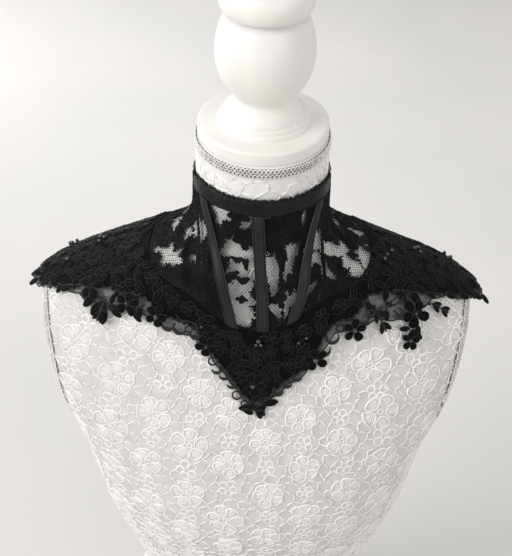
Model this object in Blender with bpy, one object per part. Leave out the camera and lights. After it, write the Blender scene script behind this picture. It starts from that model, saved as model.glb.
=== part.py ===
# Lace neck corset on a limbless dress form.
#
# The garment is a boned stand collar that runs out over the shoulders and ends in a
# scalloped lace edge with a point at centre front. It closes with hooks at centre back.
# It rests on a hollow-looking padded form with a turned wooden finial.
#
# Metres, +Z up. The front looks along -Y and the wearer's right is at -X.
# Sizes are given in millimetres in the tables and turned into metres by MM.

import math

import bmesh
import bpy
import numpy as np

for old in list(bpy.data.objects):
    bpy.data.objects.remove(old, do_unlink=True)

MM = 0.001

# Height of the side neck point above the floor: the form stands on its own flat base.
NECK_LEVEL = 620.0

# Cloth layers, as distances from the surface that the garment lies on.
NET_IN, NET_OUT = 0.7, 1.8
LACE_IN, LACE_OUT = 0.7, 2.3
OVER_IN = 2.1            # what is sewn on the net: bones, back edges, binding
BONE_EDGE, BONE_MID = 2.9, 3.9
BIND_IN, BIND_OUT = -0.9, 3.2
MOTIF_IN, MOTIF_OUT = 2.6, 4.0
SEAM_GAP = 0.3

BIND_DROP = 12.0         # height of the satin binding round the collar top
BONE_HALF = 4.6          # half width of a boning channel
BACK_HALF_GAP = 1.6      # half of the slit at centre back
EDGE_TAPE = 11.0         # width of the satin tape along each back edge

FLANGE_R, FLANGE_T = 51.0, 10.5
NECK_TILT = 7.0          # degrees that the neck plane leans forward

# Sections of the form, top to bottom. Each is an oval about its own centre:
# height, centre across, centre front to back (front is minus), tilt in degrees,
# half width, depth to the front, depth to the back, squareness of the oval,
# the same three sizes of the surface that the pulled cloth lies on, and how far that
# surface stands out at the arms, where the shoulder caps hang free.
SECTION_COLUMNS = ("height", "across", "along", "tilt", "half", "front", "back", "square",
                   "lay_half", "lay_front", "lay_back", "hang")
SECTIONS = [
    (78, 0.0, -6.4, 7.0, 51.4, 51.4, 51.4, 2.0, 52.8, 52.8, 52.8, 0.0),
    (66, 0.0, -5.4, 7.0, 51.5, 51.5, 51.5, 2.0, 52.9, 52.9, 52.9, 0.0),
    (49, 0.0, -3.7, 6.9, 51.8, 51.8, 51.8, 2.0, 53.2, 53.2, 53.2, 0.0),
    (38, 0.0, -2.7, 6.6, 51.9, 52.0, 52.0, 2.0, 53.3, 54.0, 53.4, 0.0),
    (26, 0.0, -1.8, 6.0, 52.2, 52.4, 52.4, 2.0, 53.5, 56.0, 53.8, 0.0),
    (10, 0.0, -0.5, 4.0, 53.2, 53.6, 54.0, 2.0, 54.2, 59.6, 55.0, 0.0),
    (-2, 0.0, 0.0, 2.0, 56.2, 55.2, 56.0, 2.0, 57.0, 62.6, 57.0, 0.0),
    (-11, 0.0, 0.0, 1.0, 65.5, 56.6, 58.5, 2.0, 66.0, 64.7, 59.2, 0.0),
    (-21, 0.0, 0.0, 0.0, 84.0, 58.6, 61.0, 2.0, 84.3, 66.8, 61.5, 0.0),
    (-29.5, 0.0, 0.0, 0.0, 106.0, 60.8, 63.8, 2.0, 106.2, 68.8, 64.2, 0.0),
    (-38, -0.2, 0.0, 0.0, 129.0, 63.6, 67.0, 2.0, 129.2, 71.0, 67.2, 0.0),
    (-47, -1.0, 0.0, 0.0, 152.5, 67.0, 71.0, 2.0, 152.8, 72.6, 71.0, 0.5),
    (-58, -1.6, 0.0, 0.0, 175.0, 71.2, 76.0, 2.0, 175.3, 75.6, 76.0, 1.0),
    (-72, -2.0, 0.0, 0.0, 191.0, 76.4, 82.0, 2.0, 191.0, 79.2, 82.0, 5.0),
    (-92, -2.0, 0.0, 0.0, 200.0, 83.2, 89.0, 2.1, 200.0, 84.8, 89.0, 10.0),
    (-120, -2.0, 0.0, 0.0, 199.0, 92.5, 95.0, 2.2, 199.0, 93.2, 95.0, 18.0),
    (-150, -2.0, 0.0, 0.0, 189.0, 102.0, 99.0, 2.3, 189.0, 102.4, 99.0, 30.0),
    (-180, -1.6, 0.0, 0.0, 175.0, 110.5, 100.0, 2.4, 175.0, 111.0, 100.0, 44.0),
    (-215, -1.2, 0.0, 0.0, 162.0, 117.5, 98.0, 2.4, 162.0, 118.0, 98.0, 57.0),
    (-250, -0.6, 0.0, 0.0, 153.5, 120.5, 94.0, 2.4, 153.5, 121.0, 94.0, 65.0),
    (-290, 0.0, 0.0, 0.0, 146.0, 116.0, 88.0, 2.35, 146.0, 116.0, 88.0, 70.0),
    (-330, 0.0, 0.0, 0.0, 137.0, 102.0, 80.0, 2.25, 137.0, 102.0, 80.0, 70.0),
    (-370, 0.0, 0.0, 0.0, 125.0, 89.5, 74.0, 2.15, 125.0, 89.5, 74.0, 70.0),
    (-413, 0.0, 0.0, 0.0, 114.5, 83.5, 72.0, 2.1, 114.5, 83.5, 72.0, 70.0),
    (-460, 0.0, 0.0, 0.0, 120.0, 86.0, 82.0, 2.1, 120.0, 86.0, 82.0, 70.0),
    (-520, 0.0, 0.0, 0.0, 143.0, 93.0, 98.0, 2.2, 143.0, 93.0, 98.0, 70.0),
    (-580, 0.0, 0.0, 0.0, 160.0, 98.0, 107.0, 2.25, 160.0, 98.0, 107.0, 70.0),
    (-612, 0.0, 0.0, 0.0, 162.5, 98.0, 107.0, 2.25, 162.5, 98.0, 107.0, 70.0),
    (-620, 0.0, 0.0, 0.0, 157.0, 93.0, 101.0, 2.25, 157.0, 93.0, 101.0, 70.0),
]
COLLAR_ROW = 2           # the section at the collar's top edge

# The flat arm plates that close the form at the shoulders.
PLATE_TOP, PLATE_X, PLATE_SLOPE, PLATE_ROUND = -70.0, 185.0, 0.13, 9.0
PLATE_LOW, PLATE_FLARE = -205.0, 0.9

# Seam lines of the garment, as angles round the neck (0 is centre front) at a distance
# down from the collar's top edge.
SEAM_COLUMNS = ("down", "back_r", "side_r", "bone_r", "bone_mid", "bone_l", "side_l", "back_l")
SEAMS = [
    (0, -128, -84, -58, -3.0, 59, 84, 128),
    (17, -128, -78, -52, -2.0, 53, 78, 128),
    (33, -127, -68, -42.5, -1.0, 44.5, 68, 127),
    (62, -126, -46, -27.5, 1.0, 31.5, 47, 126),
    (90, -125, -34, -18.5, 3.0, 24.5, 37, 125),
    (111, -124, -28, -12.8, 4.5, 20, 31, 124),
    (150, -123, -22, -8, 4.5, 14, 25, 123),
    (240, -122, -18, -4, 4.5, 9, 20, 122),
]

# The lace edging: where it begins and where its edge lies, measured down from the
# collar's top edge, at each angle round the neck.
EDGE_COLUMNS = ("angle", "begin", "edge")
EDGES = [
    (-180, 84, 148), (-166, 83, 140), (-150, 83, 132), (-135, 85, 138), (-120, 88, 152),
    (-108, 90, 172), (-97, 91, 194), (-87, 92, 205), (-80, 93, 180), (-73, 95, 160),
    (-65, 96, 150), (-57, 95, 127), (-45, 92, 126), (-38, 93, 124), (-32, 96, 122),
    (-25, 101, 134), (-15, 107, 150), (-8, 109, 164), (0, 110, 178), (8, 109, 172),
    (15, 107, 160), (25, 101, 151), (32, 95, 142), (38, 92, 126), (44, 91, 121),
    (50, 93, 128), (57, 97, 128), (64, 98, 148), (71, 98, 152), (78, 96, 164),
    (86, 93, 204), (97, 91, 194), (108, 90, 172), (120, 88, 152), (135, 85, 138),
    (150, 83, 132), (166, 83, 140), (180, 84, 148),
]
SCALLOP = 6.5            # depth of a scallop

# Pieces of the lace edging: name, first and last angle, scallops, rows of cells.
LACE_COLUMNS = ("name", "start", "end", "scallops", "rows")
LACES = [
    ("lace_back_right", -178.9, -128, 7, 3),
    ("lace_shoulder_right", -128, -58, 14, 6),
    ("lace_front", -58, 57, 14, 4),
    ("lace_shoulder_left", 57, 128, 14, 6),
    ("lace_back_left", 128, 178.9, 7, 3),
]

# Flowers sewn over the lace edge: name, angle, distance down, radius, petals, turn.
FLOWER_COLUMNS = ("name", "angle", "down", "radius", "petals", "turn")
FLOWERS = [
    ("flower_hang_right", -73.0, 150, 11.5, 5, 10),
    ("flower_chest_right", -60.5, 131, 10.5, 5, 60),
    ("flower_pearl_right", -49.5, 122, 10.0, 5, 30),
    ("flower_vee_right", -26.0, 128, 10.0, 5, 0),
    ("flower_vee_tip", -0.5, 157, 12.0, 6, 20),
    ("flower_vee_left", 31.0, 139, 10.5, 5, 45),
    ("flower_chest_left", 48.5, 127, 11.0, 5, 15),
    ("flower_spray_left", 67.5, 150, 13.0, 5, 37),
    ("flower_hang_left", 63.3, 164.9, 8.5, 5, 1),
]

# Leaf sprays over the lace edge: name, root (angle, down), the way it runs as degrees
# turned from straight down, length, leaf and stem half widths, and number of leaves.
SPRAY_COLUMNS = ("name", "angle", "down", "turn", "length", "leaf", "stem", "leaves")
SPRAYS = [
    ("spray_hang_right", -66.5, 143, 10, 20, 3.6, 1.5, 2),
    ("spray_vee_point", -5.5, 178, 85, 20, 5.0, 1.6, 2),
    ("spray_chest_left", 57.5, 122, 5, 22, 3.8, 1.5, 2),
    ("spray_outer_left", 73.0, 158, 20, 18, 3.6, 1.5, 2),
]

# Turned finial: radius and height above the flange's top face.
FINIAL = [
    (35.5, 0.0), (35.5, 3.2), (33.4, 3.6), (33.4, 6.4), (31.2, 6.8), (31.2, 9.4),
    (27.5, 12.5), (24.6, 17.0), (23.4, 21.5), (25.0, 25.0), (29.5, 31.0), (33.8, 39.0),
    (36.4, 48.0), (37.2, 57.0), (36.6, 66.0), (34.6, 75.0), (31.6, 83.0), (28.6, 88.0),
    (31.8, 89.5), (34.0, 94.0), (34.2, 100.0), (32.0, 106.0), (26.0, 109.5),
    (17.0, 111.0), (14.0, 116.0), (15.0, 122.0), (19.0, 129.0), (20.0, 136.0),
    (17.5, 143.0), (11.0, 148.5),
]
FINIAL_TIP = 150.5

# Resolution.
BODY_SIDES, FINIAL_SIDES, BRAID_SIDES = 40, 26, 24


def columns(names, rows):
    """A table as a dict of arrays, one for each named column."""
    return {n: np.array([r[i] for r in rows]) for i, n in enumerate(names)}


SEC = columns(SECTION_COLUMNS, SECTIONS)
SEAM = columns(SEAM_COLUMNS, SEAMS)
EDGE = columns(EDGE_COLUMNS, EDGES)


def between_sections(name, t):
    """A column of SECTIONS at row number t, through a Catmull-Rom curve."""
    v = SEC[name].astype(float)
    n = len(v)
    i = np.clip(np.floor(t).astype(int), 0, n - 2)
    f = t - i
    p1, p2 = v[i], v[i + 1]
    p0 = np.where(i > 0, v[np.maximum(i - 1, 0)], 2 * p1 - p2)
    p3 = np.where(i < n - 2, v[np.minimum(i + 2, n - 1)], 2 * p2 - p1)
    return 0.5 * (2 * p1 + (p2 - p0) * f + (2 * p0 - 5 * p1 + 4 * p2 - p3) * f ** 2
                  + (3 * p1 - p0 - 3 * p2 + p3) * f ** 3)


def plate_limit(h):
    """How far out the arm plate's plane is at a height; below it the body is whole."""
    return (PLATE_X + PLATE_SLOPE * (h - PLATE_TOP)
            + PLATE_FLARE * np.maximum(PLATE_LOW - h, 0.0))


def section_point(angle, t, lay=False, plate=True):
    """Point in mm on the form (or on the lay of the cloth) at an angle and row number."""
    angle, t = np.broadcast_arrays(np.asarray(angle, float), np.asarray(t, float))
    pre = "lay_" if lay else ""
    h = between_sections("height", t)
    tilt = np.radians(between_sections("tilt", t))
    a, fr, bk = (between_sections(pre + k, t) for k in ("half", "front", "back"))
    n = between_sections("square", t)
    s, c = np.sin(np.radians(angle)), np.cos(np.radians(angle))
    b = np.where(c > 0, fr, bk)
    r = (np.abs(s / a) ** n + np.abs(c / b) ** n) ** (-1 / n)
    if plate and not lay:
        lim = plate_limit(h) / np.maximum(np.abs(s), 1e-6)
        d = r - lim
        k = PLATE_ROUND
        r = np.where(d > k, lim, np.where(d < -k, r, r - (d + k) ** 2 / (4 * k)))
    if lay:
        r = r + between_sections("hang", t) * np.abs(s) ** 14
    x = between_sections("across", t) + r * s
    y = between_sections("along", t) - r * c * np.cos(tilt)
    z = NECK_LEVEL + h - r * c * np.sin(tilt)
    return np.stack([x, y, z], -1)


# The lay of the cloth as a map from (angle, distance down) to a point and its outward
# direction. Angles are half a degree apart and distances one millimetre.
STEP_A, STEP_S, DOWN_MAX = 0.5, 1.0, 250


def lay_map():
    """Points and directions on a regular (angle, distance) grid."""
    ang = np.arange(-180, 180 + STEP_A, STEP_A)
    t = np.linspace(COLLAR_ROW, 20.0, 541)
    p = section_point(ang[:, None], t[None, :], lay=True)
    s = np.concatenate([np.zeros((len(ang), 1)),
                        np.cumsum(np.linalg.norm(np.diff(p, axis=1), axis=-1), 1)], 1)
    down = np.arange(0, DOWN_MAX + STEP_S, STEP_S)
    grid = np.empty((len(ang), len(down), 3))
    for i in range(len(ang)):
        for k in range(3):
            grid[i, :, k] = np.interp(down, s[i], p[i, :, k])
    wrap = np.concatenate([grid[-2:-1], grid, grid[1:2]], 0)
    du = (wrap[2:] - wrap[:-2])
    dv = np.gradient(grid, axis=1)
    n = np.cross(dv, du)
    n /= np.linalg.norm(n, axis=-1, keepdims=True)
    return grid, n


LAY_P, LAY_N = lay_map()


def lay(angle, down, out=0.0):
    """Point in mm at an angle, a distance down, and a distance out from the lay."""
    angle, down, out = np.broadcast_arrays(np.asarray(angle, float),
                                           np.asarray(down, float),
                                           np.asarray(out, float))
    u = ((angle + 180.0) % 360.0) / STEP_A
    above = np.minimum(down, 0.0)
    v = np.clip(down, 0, DOWN_MAX - 0.001) / STEP_S
    i, j = np.floor(u).astype(int), np.floor(v).astype(int)
    i = np.minimum(i, LAY_P.shape[0] - 2)
    f, g = (u - i)[..., None], (v - j)[..., None]
    res = []
    for m in (LAY_P, LAY_N):
        res.append((m[i, j] * (1 - f) + m[i + 1, j] * f) * (1 - g)
                   + (m[i, j + 1] * (1 - f) + m[i + 1, j + 1] * f) * g)
    p, n = res
    n = n / np.linalg.norm(n, axis=-1, keepdims=True)
    return p + n * out[..., None] - above[..., None] * np.array([0, 0, 1.0])


def degrees_for(width, angle, down):
    """The angle that a width in mm, square to the way down, takes up on the lay."""
    return width / across_rate(angle, down)[0]


def across_rate(angle, down):
    """Millimetres per degree, square to the way down and along it, at a place."""
    pa = lay(np.asarray(angle) + 0.5, down) - lay(np.asarray(angle) - 0.5, down)
    pd = lay(angle, np.asarray(down) + 1.0) - lay(angle, np.asarray(down) - 1.0)
    pd = pd / np.linalg.norm(pd, axis=-1, keepdims=True)
    slip = np.sum(pa * pd, axis=-1)
    return np.linalg.norm(pa - slip[..., None] * pd, axis=-1), slip


def beside(angle, down, across, along):
    """The place that lies some mm across and some mm further down from a place."""
    rate, slip = across_rate(angle, down)
    turn = across / rate
    return angle + turn, down + along - turn * slip


def eased(angle, name):
    """The lace table between its rows, with its corners rounded off."""
    off = (-3.0, -1.5, 0.0, 1.5, 3.0)
    return sum(np.interp(angle + o, EDGE["angle"], EDGE[name], period=360) for o in off) / 5


def seam(name, down):
    return np.interp(down, SEAM["down"], SEAM[name])


def material(name, rgb, rough, metal=0.0):
    mat = bpy.data.materials.new(name)
    mat.use_nodes = True
    bsdf = mat.node_tree.nodes["Principled BSDF"]
    bsdf.inputs["Base Color"].default_value = (*rgb, 1.0)
    bsdf.inputs["Roughness"].default_value = rough
    bsdf.inputs["Metallic"].default_value = metal
    mat.diffuse_color = (*rgb, 1.0)
    return mat


def solid(name, verts, faces, mat):
    """One closed mesh from points in mm, its faces turned outward."""
    mesh = bpy.data.meshes.new(name)
    mesh.from_pydata((np.asarray(verts) * MM).tolist(), [], [list(map(int, f)) for f in faces])
    bm = bmesh.new()
    bm.from_mesh(mesh)
    bmesh.ops.recalc_face_normals(bm, faces=bm.faces)
    if bm.calc_volume(signed=True) < 0:
        bmesh.ops.reverse_faces(bm, faces=bm.faces)
    bm.to_mesh(mesh)
    bm.free()
    mesh.materials.append(mat)
    obj = bpy.data.objects.new(name, mesh)
    bpy.context.collection.objects.link(obj)
    return obj


def wall(name, inner, outer, mat):
    """A wall between two grids of points, closed along its rim."""
    nu, nv = inner.shape[:2]
    idx = np.arange(nu * nv).reshape(nu, nv)
    low = idx + nu * nv
    faces = []
    for i in range(nu - 1):
        for j in range(nv - 1):
            faces.append((idx[i, j], idx[i, j + 1], idx[i + 1, j + 1], idx[i + 1, j]))
            faces.append((low[i, j], low[i + 1, j], low[i + 1, j + 1], low[i, j + 1]))
    rim = ([(i, 0) for i in range(nu - 1)] + [(nu - 1, j) for j in range(nv - 1)]
           + [(i, nv - 1) for i in range(nu - 1, 0, -1)] + [(0, j) for j in range(nv - 1, 0, -1)])
    for k, a in enumerate(rim):
        b = rim[(k + 1) % len(rim)]
        faces.append((idx[a], idx[b], low[b], low[a]))
    verts = np.concatenate([outer.reshape(-1, 3), inner.reshape(-1, 3)])
    return solid(name, verts, faces, mat)


def sweep(name, rings, mat, closed=False):
    """Sections of equal count joined into one solid, capped unless it is a loop."""
    rings = np.asarray(rings)
    n, m = rings.shape[:2]
    faces = []
    for i in range(n if closed else n - 1):
        a, b = i * m, ((i + 1) % n) * m
        for j in range(m):
            k = (j + 1) % m
            faces.append((a + j, b + j, b + k, a + k))
    if not closed:
        faces.append(tuple(range(m)))
        faces.append(tuple(range((n - 1) * m, n * m)))
    return solid(name, rings.reshape(-1, 3), faces, mat)


BLACK_NET = material("black_net", (0.030, 0.029, 0.030), 0.85)
BLACK_LACE = material("black_corded_lace", (0.012, 0.012, 0.013), 0.8)
BLACK_SATIN = material("black_satin", (0.022, 0.022, 0.024), 0.42)
BLACK_WIRE = material("black_hook_wire", (0.02, 0.02, 0.02), 0.3, 0.6)
WHITE_LACE = material("white_lace_cover", (0.80, 0.79, 0.78), 0.85)
WHITE_BRAID = material("white_braid", (0.82, 0.81, 0.79), 0.8)
WHITE_WOOD = material("white_painted_wood", (0.86, 0.85, 0.84), 0.35)


# The form's body: ovals from the neck down to a flat base.

def form_body():
    t = np.concatenate([np.arange(0, 2, 1.0), np.arange(2, 5, 1.0), np.arange(5, 12, 0.5),
                        np.arange(12, len(SECTIONS), 1.0)])
    ang = np.linspace(-180, 180, BODY_SIDES, endpoint=False)
    rings = section_point(ang[None, :], t[:, None])
    rings[-1, :, 2] = 0.0
    return sweep("form_body", rings, WHITE_LACE)


# The finial: a flange on the neck's top, then stepped rings, an urn and a tip.

def neck_frame():
    """Centre of the neck's top face, and its up and front directions."""
    t = math.radians(NECK_TILT)
    centre = np.array([0.0, SEC["along"][0], NECK_LEVEL + SEC["height"][0]])
    return centre, np.array([0.0, -math.sin(t), math.cos(t)]), np.array([0.0, -math.cos(t),
                                                                         -math.sin(t)])


def finial():
    centre, up, front = neck_frame()
    side = np.array([1.0, 0.0, 0.0])
    lift = 0.03
    prof = [(FLANGE_R - 1.2, lift), (FLANGE_R, lift + 1.2), (FLANGE_R, FLANGE_T - 1.5),
            (FLANGE_R - 1.5, FLANGE_T)]
    prof += [(r, FLANGE_T + h) for r, h in FINIAL]
    ang = np.linspace(0, 2 * math.pi, FINIAL_SIDES, endpoint=False)
    rings = [centre + up * h + r * (np.sin(ang)[:, None] * side + np.cos(ang)[:, None] * front)
             for r, h in prof]
    n, m = len(rings), FINIAL_SIDES
    verts = np.concatenate(rings + [(centre + up * (FLANGE_T + FINIAL_TIP))[None]])
    faces = [tuple(range(m))]
    for i in range(n - 1):
        for j in range(m):
            k = (j + 1) % m
            faces.append((i * m + j, i * m + k, (i + 1) * m + k, (i + 1) * m + j))
    for j in range(m):
        faces.append(((n - 1) * m + j, (n - 1) * m + (j + 1) % m, n * m))
    return solid("finial", verts, faces, WHITE_WOOD)


# White braid: one round the neck under the flange, one round each arm plate.

def neck_braid():
    ang = np.linspace(-180, 180, 40, endpoint=False)
    top, low = 0.15, 0.85
    rings = []
    for a in ang:
        p = section_point(np.array([a] * 2), np.array([top, low]))
        q = section_point(np.array([a] * 2), np.array([top, low]), lay=True)
        n = (q - p) / np.linalg.norm(q - p, axis=-1, keepdims=True)
        mid = (p[0] + p[1]) / 2
        nm = (n[0] + n[1]) / 2
        rings.append([p[0] + n[0] * 0.3, p[0] + n[0] * 2.0, mid + nm * 2.6,
                      p[1] + n[1] * 2.0, p[1] + n[1] * 0.3])
    return sweep("neck_braid", rings, WHITE_BRAID, closed=True)


def plate_rim(side):
    """Points round the rim of an arm plate, with their outward directions."""
    t = np.linspace(0, len(SECTIONS) - 1.001, 2801)
    h = between_sections("height", t)
    half = between_sections("half", t)
    lim = plate_limit(h)
    inside = np.where(half > lim)[0]
    t_top, t_low = t[inside[0]], t[inside[-1]]
    h_top, h_low = h[inside[0]], h[inside[-1]]
    psi = np.linspace(0, 2 * math.pi, BRAID_SIDES, endpoint=False)
    hs = (h_top + h_low) / 2 + (h_top - h_low) / 2 * np.cos(psi)
    ts = np.clip(np.interp(-hs, -h, t), t_top + 1e-4, t_low - 1e-4)
    a = between_sections("half", ts)
    n = between_sections("square", ts)
    x = plate_limit(hs)
    rest = np.clip(1 - (x / a) ** n, 0, 1) ** (1 / n)
    b = np.where(np.sin(psi) > 0, between_sections("front", ts), between_sections("back", ts))
    y = -np.sign(np.sin(psi)) * rest * b
    ang = np.degrees(np.arctan2(side * x, -y))
    e = 0.4
    p = section_point(ang, ts)
    du = section_point(ang + e, ts) - section_point(ang - e, ts)
    dv = section_point(ang, ts + 0.03) - section_point(ang, ts - 0.03)
    nn = np.cross(dv, du)
    nn /= np.linalg.norm(nn, axis=-1, keepdims=True)
    nn[:, 0] += side * 0.25
    return p, nn / np.linalg.norm(nn, axis=-1, keepdims=True)


def arm_braid(name, side):
    p, n = plate_rim(side)
    run = np.roll(p, -1, 0) - np.roll(p, 1, 0)
    run /= np.linalg.norm(run, axis=-1, keepdims=True)
    cross = np.cross(run, n)
    cross /= np.linalg.norm(cross, axis=-1, keepdims=True)
    th = np.linspace(0, 2 * math.pi, 6, endpoint=False)
    rings = [p[i] + n[i] * 1.4 + np.cos(th)[:, None] * cross[i] * 3.4
             + np.sin(th)[:, None] * n[i] * 1.0 for i in range(len(p))]
    return sweep(name, rings, WHITE_BRAID, closed=True)


# Net gores of the collar and yoke.

ROW_SPREAD = (0.0, 0.12, 0.22, 0.32, 0.42, 0.53, 0.66, 0.82, 1.0)


def gore(name, left, right, nu):
    """A net panel between two seam lines, from under the binding to the lace."""
    u = np.linspace(0, 1, nu + 1)[:, None]
    v = np.array(ROW_SPREAD)[None, :]
    down = 1.6 + v * 80 + 0 * u
    clear = np.zeros((nu + 1, 1))
    for turn in range(16):
        a, b = left(down), right(down)
        gap = degrees_for(SEAM_GAP / 2, (a + b) / 2, down)
        ang = (a + gap) * (1 - u) + (b - gap) * u
        low = eased(ang, "begin") - SEAM_GAP - clear
        down = 1.6 + v * (low - 1.6)
        if turn == 11:
            clear = straight_edge_clearance(ang[:, -1])[:, None]
    return wall(name, lay(ang, down, NET_IN), lay(ang, down, NET_OUT), BLACK_NET)


def straight_edge_clearance(ang):
    """How far each corner is lifted so that the straight edges stay off the lace."""
    f = np.linspace(0, 1, 9)
    top = eased(ang, "begin")
    over = np.zeros(len(ang))
    for i in range(len(ang) - 1):
        real = eased(ang[i] * (1 - f) + ang[i + 1] * f, "begin")
        extra = max(0.0, float(np.max(top[i] * (1 - f) + top[i + 1] * f - real)))
        over[i] = max(over[i], extra)
        over[i + 1] = max(over[i + 1], extra)
    return over


def seam_line(name):
    return lambda down: seam(name, down)


def back_line(side):
    """The centre back edge, kept a fixed distance from the middle."""
    return lambda down: side * (180.0 - degrees_for(BACK_HALF_GAP, 180.0, down))


GORES = [
    ("gore_back_right", back_line(-1), seam_line("back_r"), 7),
    ("gore_shoulder_right", seam_line("back_r"), seam_line("side_r"), 12),
    ("gore_side_right", seam_line("side_r"), seam_line("bone_r"), 3),
    ("gore_front_right", seam_line("bone_r"), seam_line("bone_mid"), 4),
    ("gore_front_left", seam_line("bone_mid"), seam_line("bone_l"), 4),
    ("gore_side_left", seam_line("bone_l"), seam_line("side_l"), 3),
    ("gore_shoulder_left", seam_line("side_l"), seam_line("back_l"), 12),
    ("gore_back_left", seam_line("back_l"), back_line(1), 7),
]


def collar_binding():
    """Satin folded over the collar's top edge."""
    sect = [(BIND_IN, 0.0), (BIND_OUT, 0.0), (BIND_OUT, BIND_DROP), (OVER_IN, BIND_DROP),
            (OVER_IN, 1.2), (0.1, 1.2), (0.1, BIND_DROP - 2), (BIND_IN, BIND_DROP - 2)]
    end = 180.0 - float(degrees_for(BACK_HALF_GAP, 180.0, 5.0))
    rings = []
    for a in np.linspace(-end, end, 45):
        rings.append([lay(a, s, o) for o, s in sect])
    return sweep("collar_binding", rings, BLACK_SATIN)


def bone(name, line):
    """A boning channel: a domed strip along a seam line, from binding to lace."""
    n = 14
    u = np.linspace(-1, 1, 5)[:, None]
    v = np.linspace(0, 1, n)[None, :]
    top = BIND_DROP + SEAM_GAP
    down = top + v * 90 + 0 * u
    for _ in range(12):
        ang = seam(line, down) + u * degrees_for(BONE_HALF, seam(line, down), down)
        low = eased(ang, "begin") - SEAM_GAP
        down = top + v * (low - top)
    height = BONE_EDGE + (BONE_MID - BONE_EDGE) * np.sqrt(np.clip(1 - u ** 2, 0, 1)) + 0 * v
    return wall(name, lay(ang, down, OVER_IN), lay(ang, down, height), BLACK_SATIN)


def back_tape(name, side):
    """Satin tape along a back edge of the net."""
    top = BIND_DROP + SEAM_GAP
    u = np.linspace(0, 1, 3)[:, None]
    v = np.linspace(0, 1, 9)[None, :]
    down = top + v * (82.0 - top) + 0 * u
    ang = side * (180.0 - degrees_for(BACK_HALF_GAP + EDGE_TAPE * u, 180.0, down))
    return wall(name, lay(ang, down, OVER_IN), lay(ang, down, OVER_IN + 1.0), BLACK_SATIN)


def hook(name, down):
    """A flat hook across the slit, lying on both tapes."""
    a = np.linspace(-6.5, 6.5, 4)[:, None]
    b = np.linspace(-1.6, 1.6, 2)[None, :]
    d = down + b + 0 * a
    ang = 180.0 + degrees_for(1.0, 180.0, d) * a
    return wall(name, lay(ang, d, OVER_IN + 1.3), lay(ang, d, OVER_IN + 2.4), BLACK_WIRE)


# Lace edging: walls whose lower edge is a row of scallops.

def lace_wall(name, start, end, scallops, rows):
    fine = np.linspace(start, end, 1201)
    along = lay(fine, eased(fine, "edge"))
    run = np.concatenate([[0], np.cumsum(np.linalg.norm(np.diff(along, axis=0), axis=-1))])
    n = scallops * 4
    f = np.linspace(0, 1, n + 1)
    ang = np.interp(f * run[-1], run, fine)
    gap = degrees_for(SEAM_GAP / 2, ang, eased(ang, "edge"))
    ang = ang + gap * (1 - 2 * f)
    lobe = np.abs(np.sin(np.pi * scallops * f)) ** 0.6
    edge = eased(ang, "edge") + SCALLOP * (lobe - 0.45)
    begin = eased(ang, "begin")
    v = np.linspace(0, 1, rows + 1)[None, :]
    down = begin[:, None] + v * (edge - begin)[:, None]
    a = ang[:, None] + 0 * v
    return wall(name, lay(a, down, LACE_IN), lay(a, down, LACE_OUT), BLACK_LACE)


# Flowers and leaf sprays sewn over the lace edge.

def flower(name, angle, down, radius, petals, turn):
    m = petals * 5
    th = np.linspace(0, 2 * math.pi, m, endpoint=False)
    petal = 0.66 + 0.34 * np.abs(np.cos(petals / 2 * (th + math.radians(turn)))) ** 0.8
    layers = []
    for out, up in ((MOTIF_OUT, True), (MOTIF_IN, False)):
        for frac in (1.0, 0.5):
            r = radius * frac * (petal if frac == 1.0 else 0.85)
            o = out + (0.5 if up and frac < 1 else 0.0)
            layers.append(lay(*beside(angle, down, r * np.sin(th), r * np.cos(th)), o))
    mids = [lay(angle, down, MOTIF_OUT + 0.9), lay(angle, down, MOTIF_IN)]
    verts = np.concatenate(layers + [np.array(mids)])
    faces = []
    top, bottom = 4 * m, 4 * m + 1
    for j in range(m):
        k = (j + 1) % m
        faces += [(j, k, m + k, m + j), (m + j, m + k, top),
                  (2 * m + k, 2 * m + j, 3 * m + j, 3 * m + k), (3 * m + k, 3 * m + j, bottom),
                  (j, 2 * m + j, 2 * m + k, k)]
    return solid(name, verts, faces, BLACK_LACE)


def spray(name, angle, down, turn, length, leaf, stem, leaves):
    """A stem with leaves as swellings of its width, run off from a place on the lace."""
    f = np.linspace(0, 1, 8 * int(leaves) + 1)[None, :]
    u = np.array([-1.0, 0.0, 1.0])[:, None]
    half = stem + (leaf - stem) * np.sin(np.pi * leaves * f) ** 2
    t = math.radians(turn)
    across = length * f * math.sin(t) + u * half * math.cos(t)
    along = length * f * math.cos(t) - u * half * math.sin(t)
    a, d = beside(angle, down, across, along)
    out = MOTIF_OUT - 0.4 + 0.8 * (1 - np.abs(u)) + 0 * a
    return wall(name, lay(a, d, MOTIF_IN), lay(a, d, out), BLACK_LACE)


form_body()
finial()
neck_braid()
arm_braid("arm_braid_right", -1)
arm_braid("arm_braid_left", 1)
for row in GORES:
    gore(*row)
collar_binding()
bone("bone_right", "bone_r")
bone("bone_centre", "bone_mid")
bone("bone_left", "bone_l")
back_tape("back_tape_right", -1)
back_tape("back_tape_left", 1)
for k in range(4):
    hook("hook_%d" % (k + 1), 20.0 + 17.0 * k)
for row in LACES:
    lace_wall(*row)
for row in FLOWERS:
    flower(*row)
for row in SPRAYS:
    spray(*row)

# The whole part is centred over the origin.
parts = [o for o in bpy.data.objects if o.type == "MESH"]
ends = np.concatenate([np.array([v.co[:] for v in o.data.vertices]) for o in parts])
mid = (ends.max(0) + ends.min(0)) / 2
for o in parts:
    for v in o.data.vertices:
        v.co.x -= mid[0]
        v.co.y -= mid[1]
print("objects", len(parts), "size", np.round(ends.max(0) - ends.min(0), 4),
      "shift", np.round(mid[:2], 5))
print("triangles", {o.name: sum(len(p.vertices) - 2 for p in o.data.polygons) for o in parts},
      sum(sum(len(p.vertices) - 2 for p in o.data.polygons) for o in parts))
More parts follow.
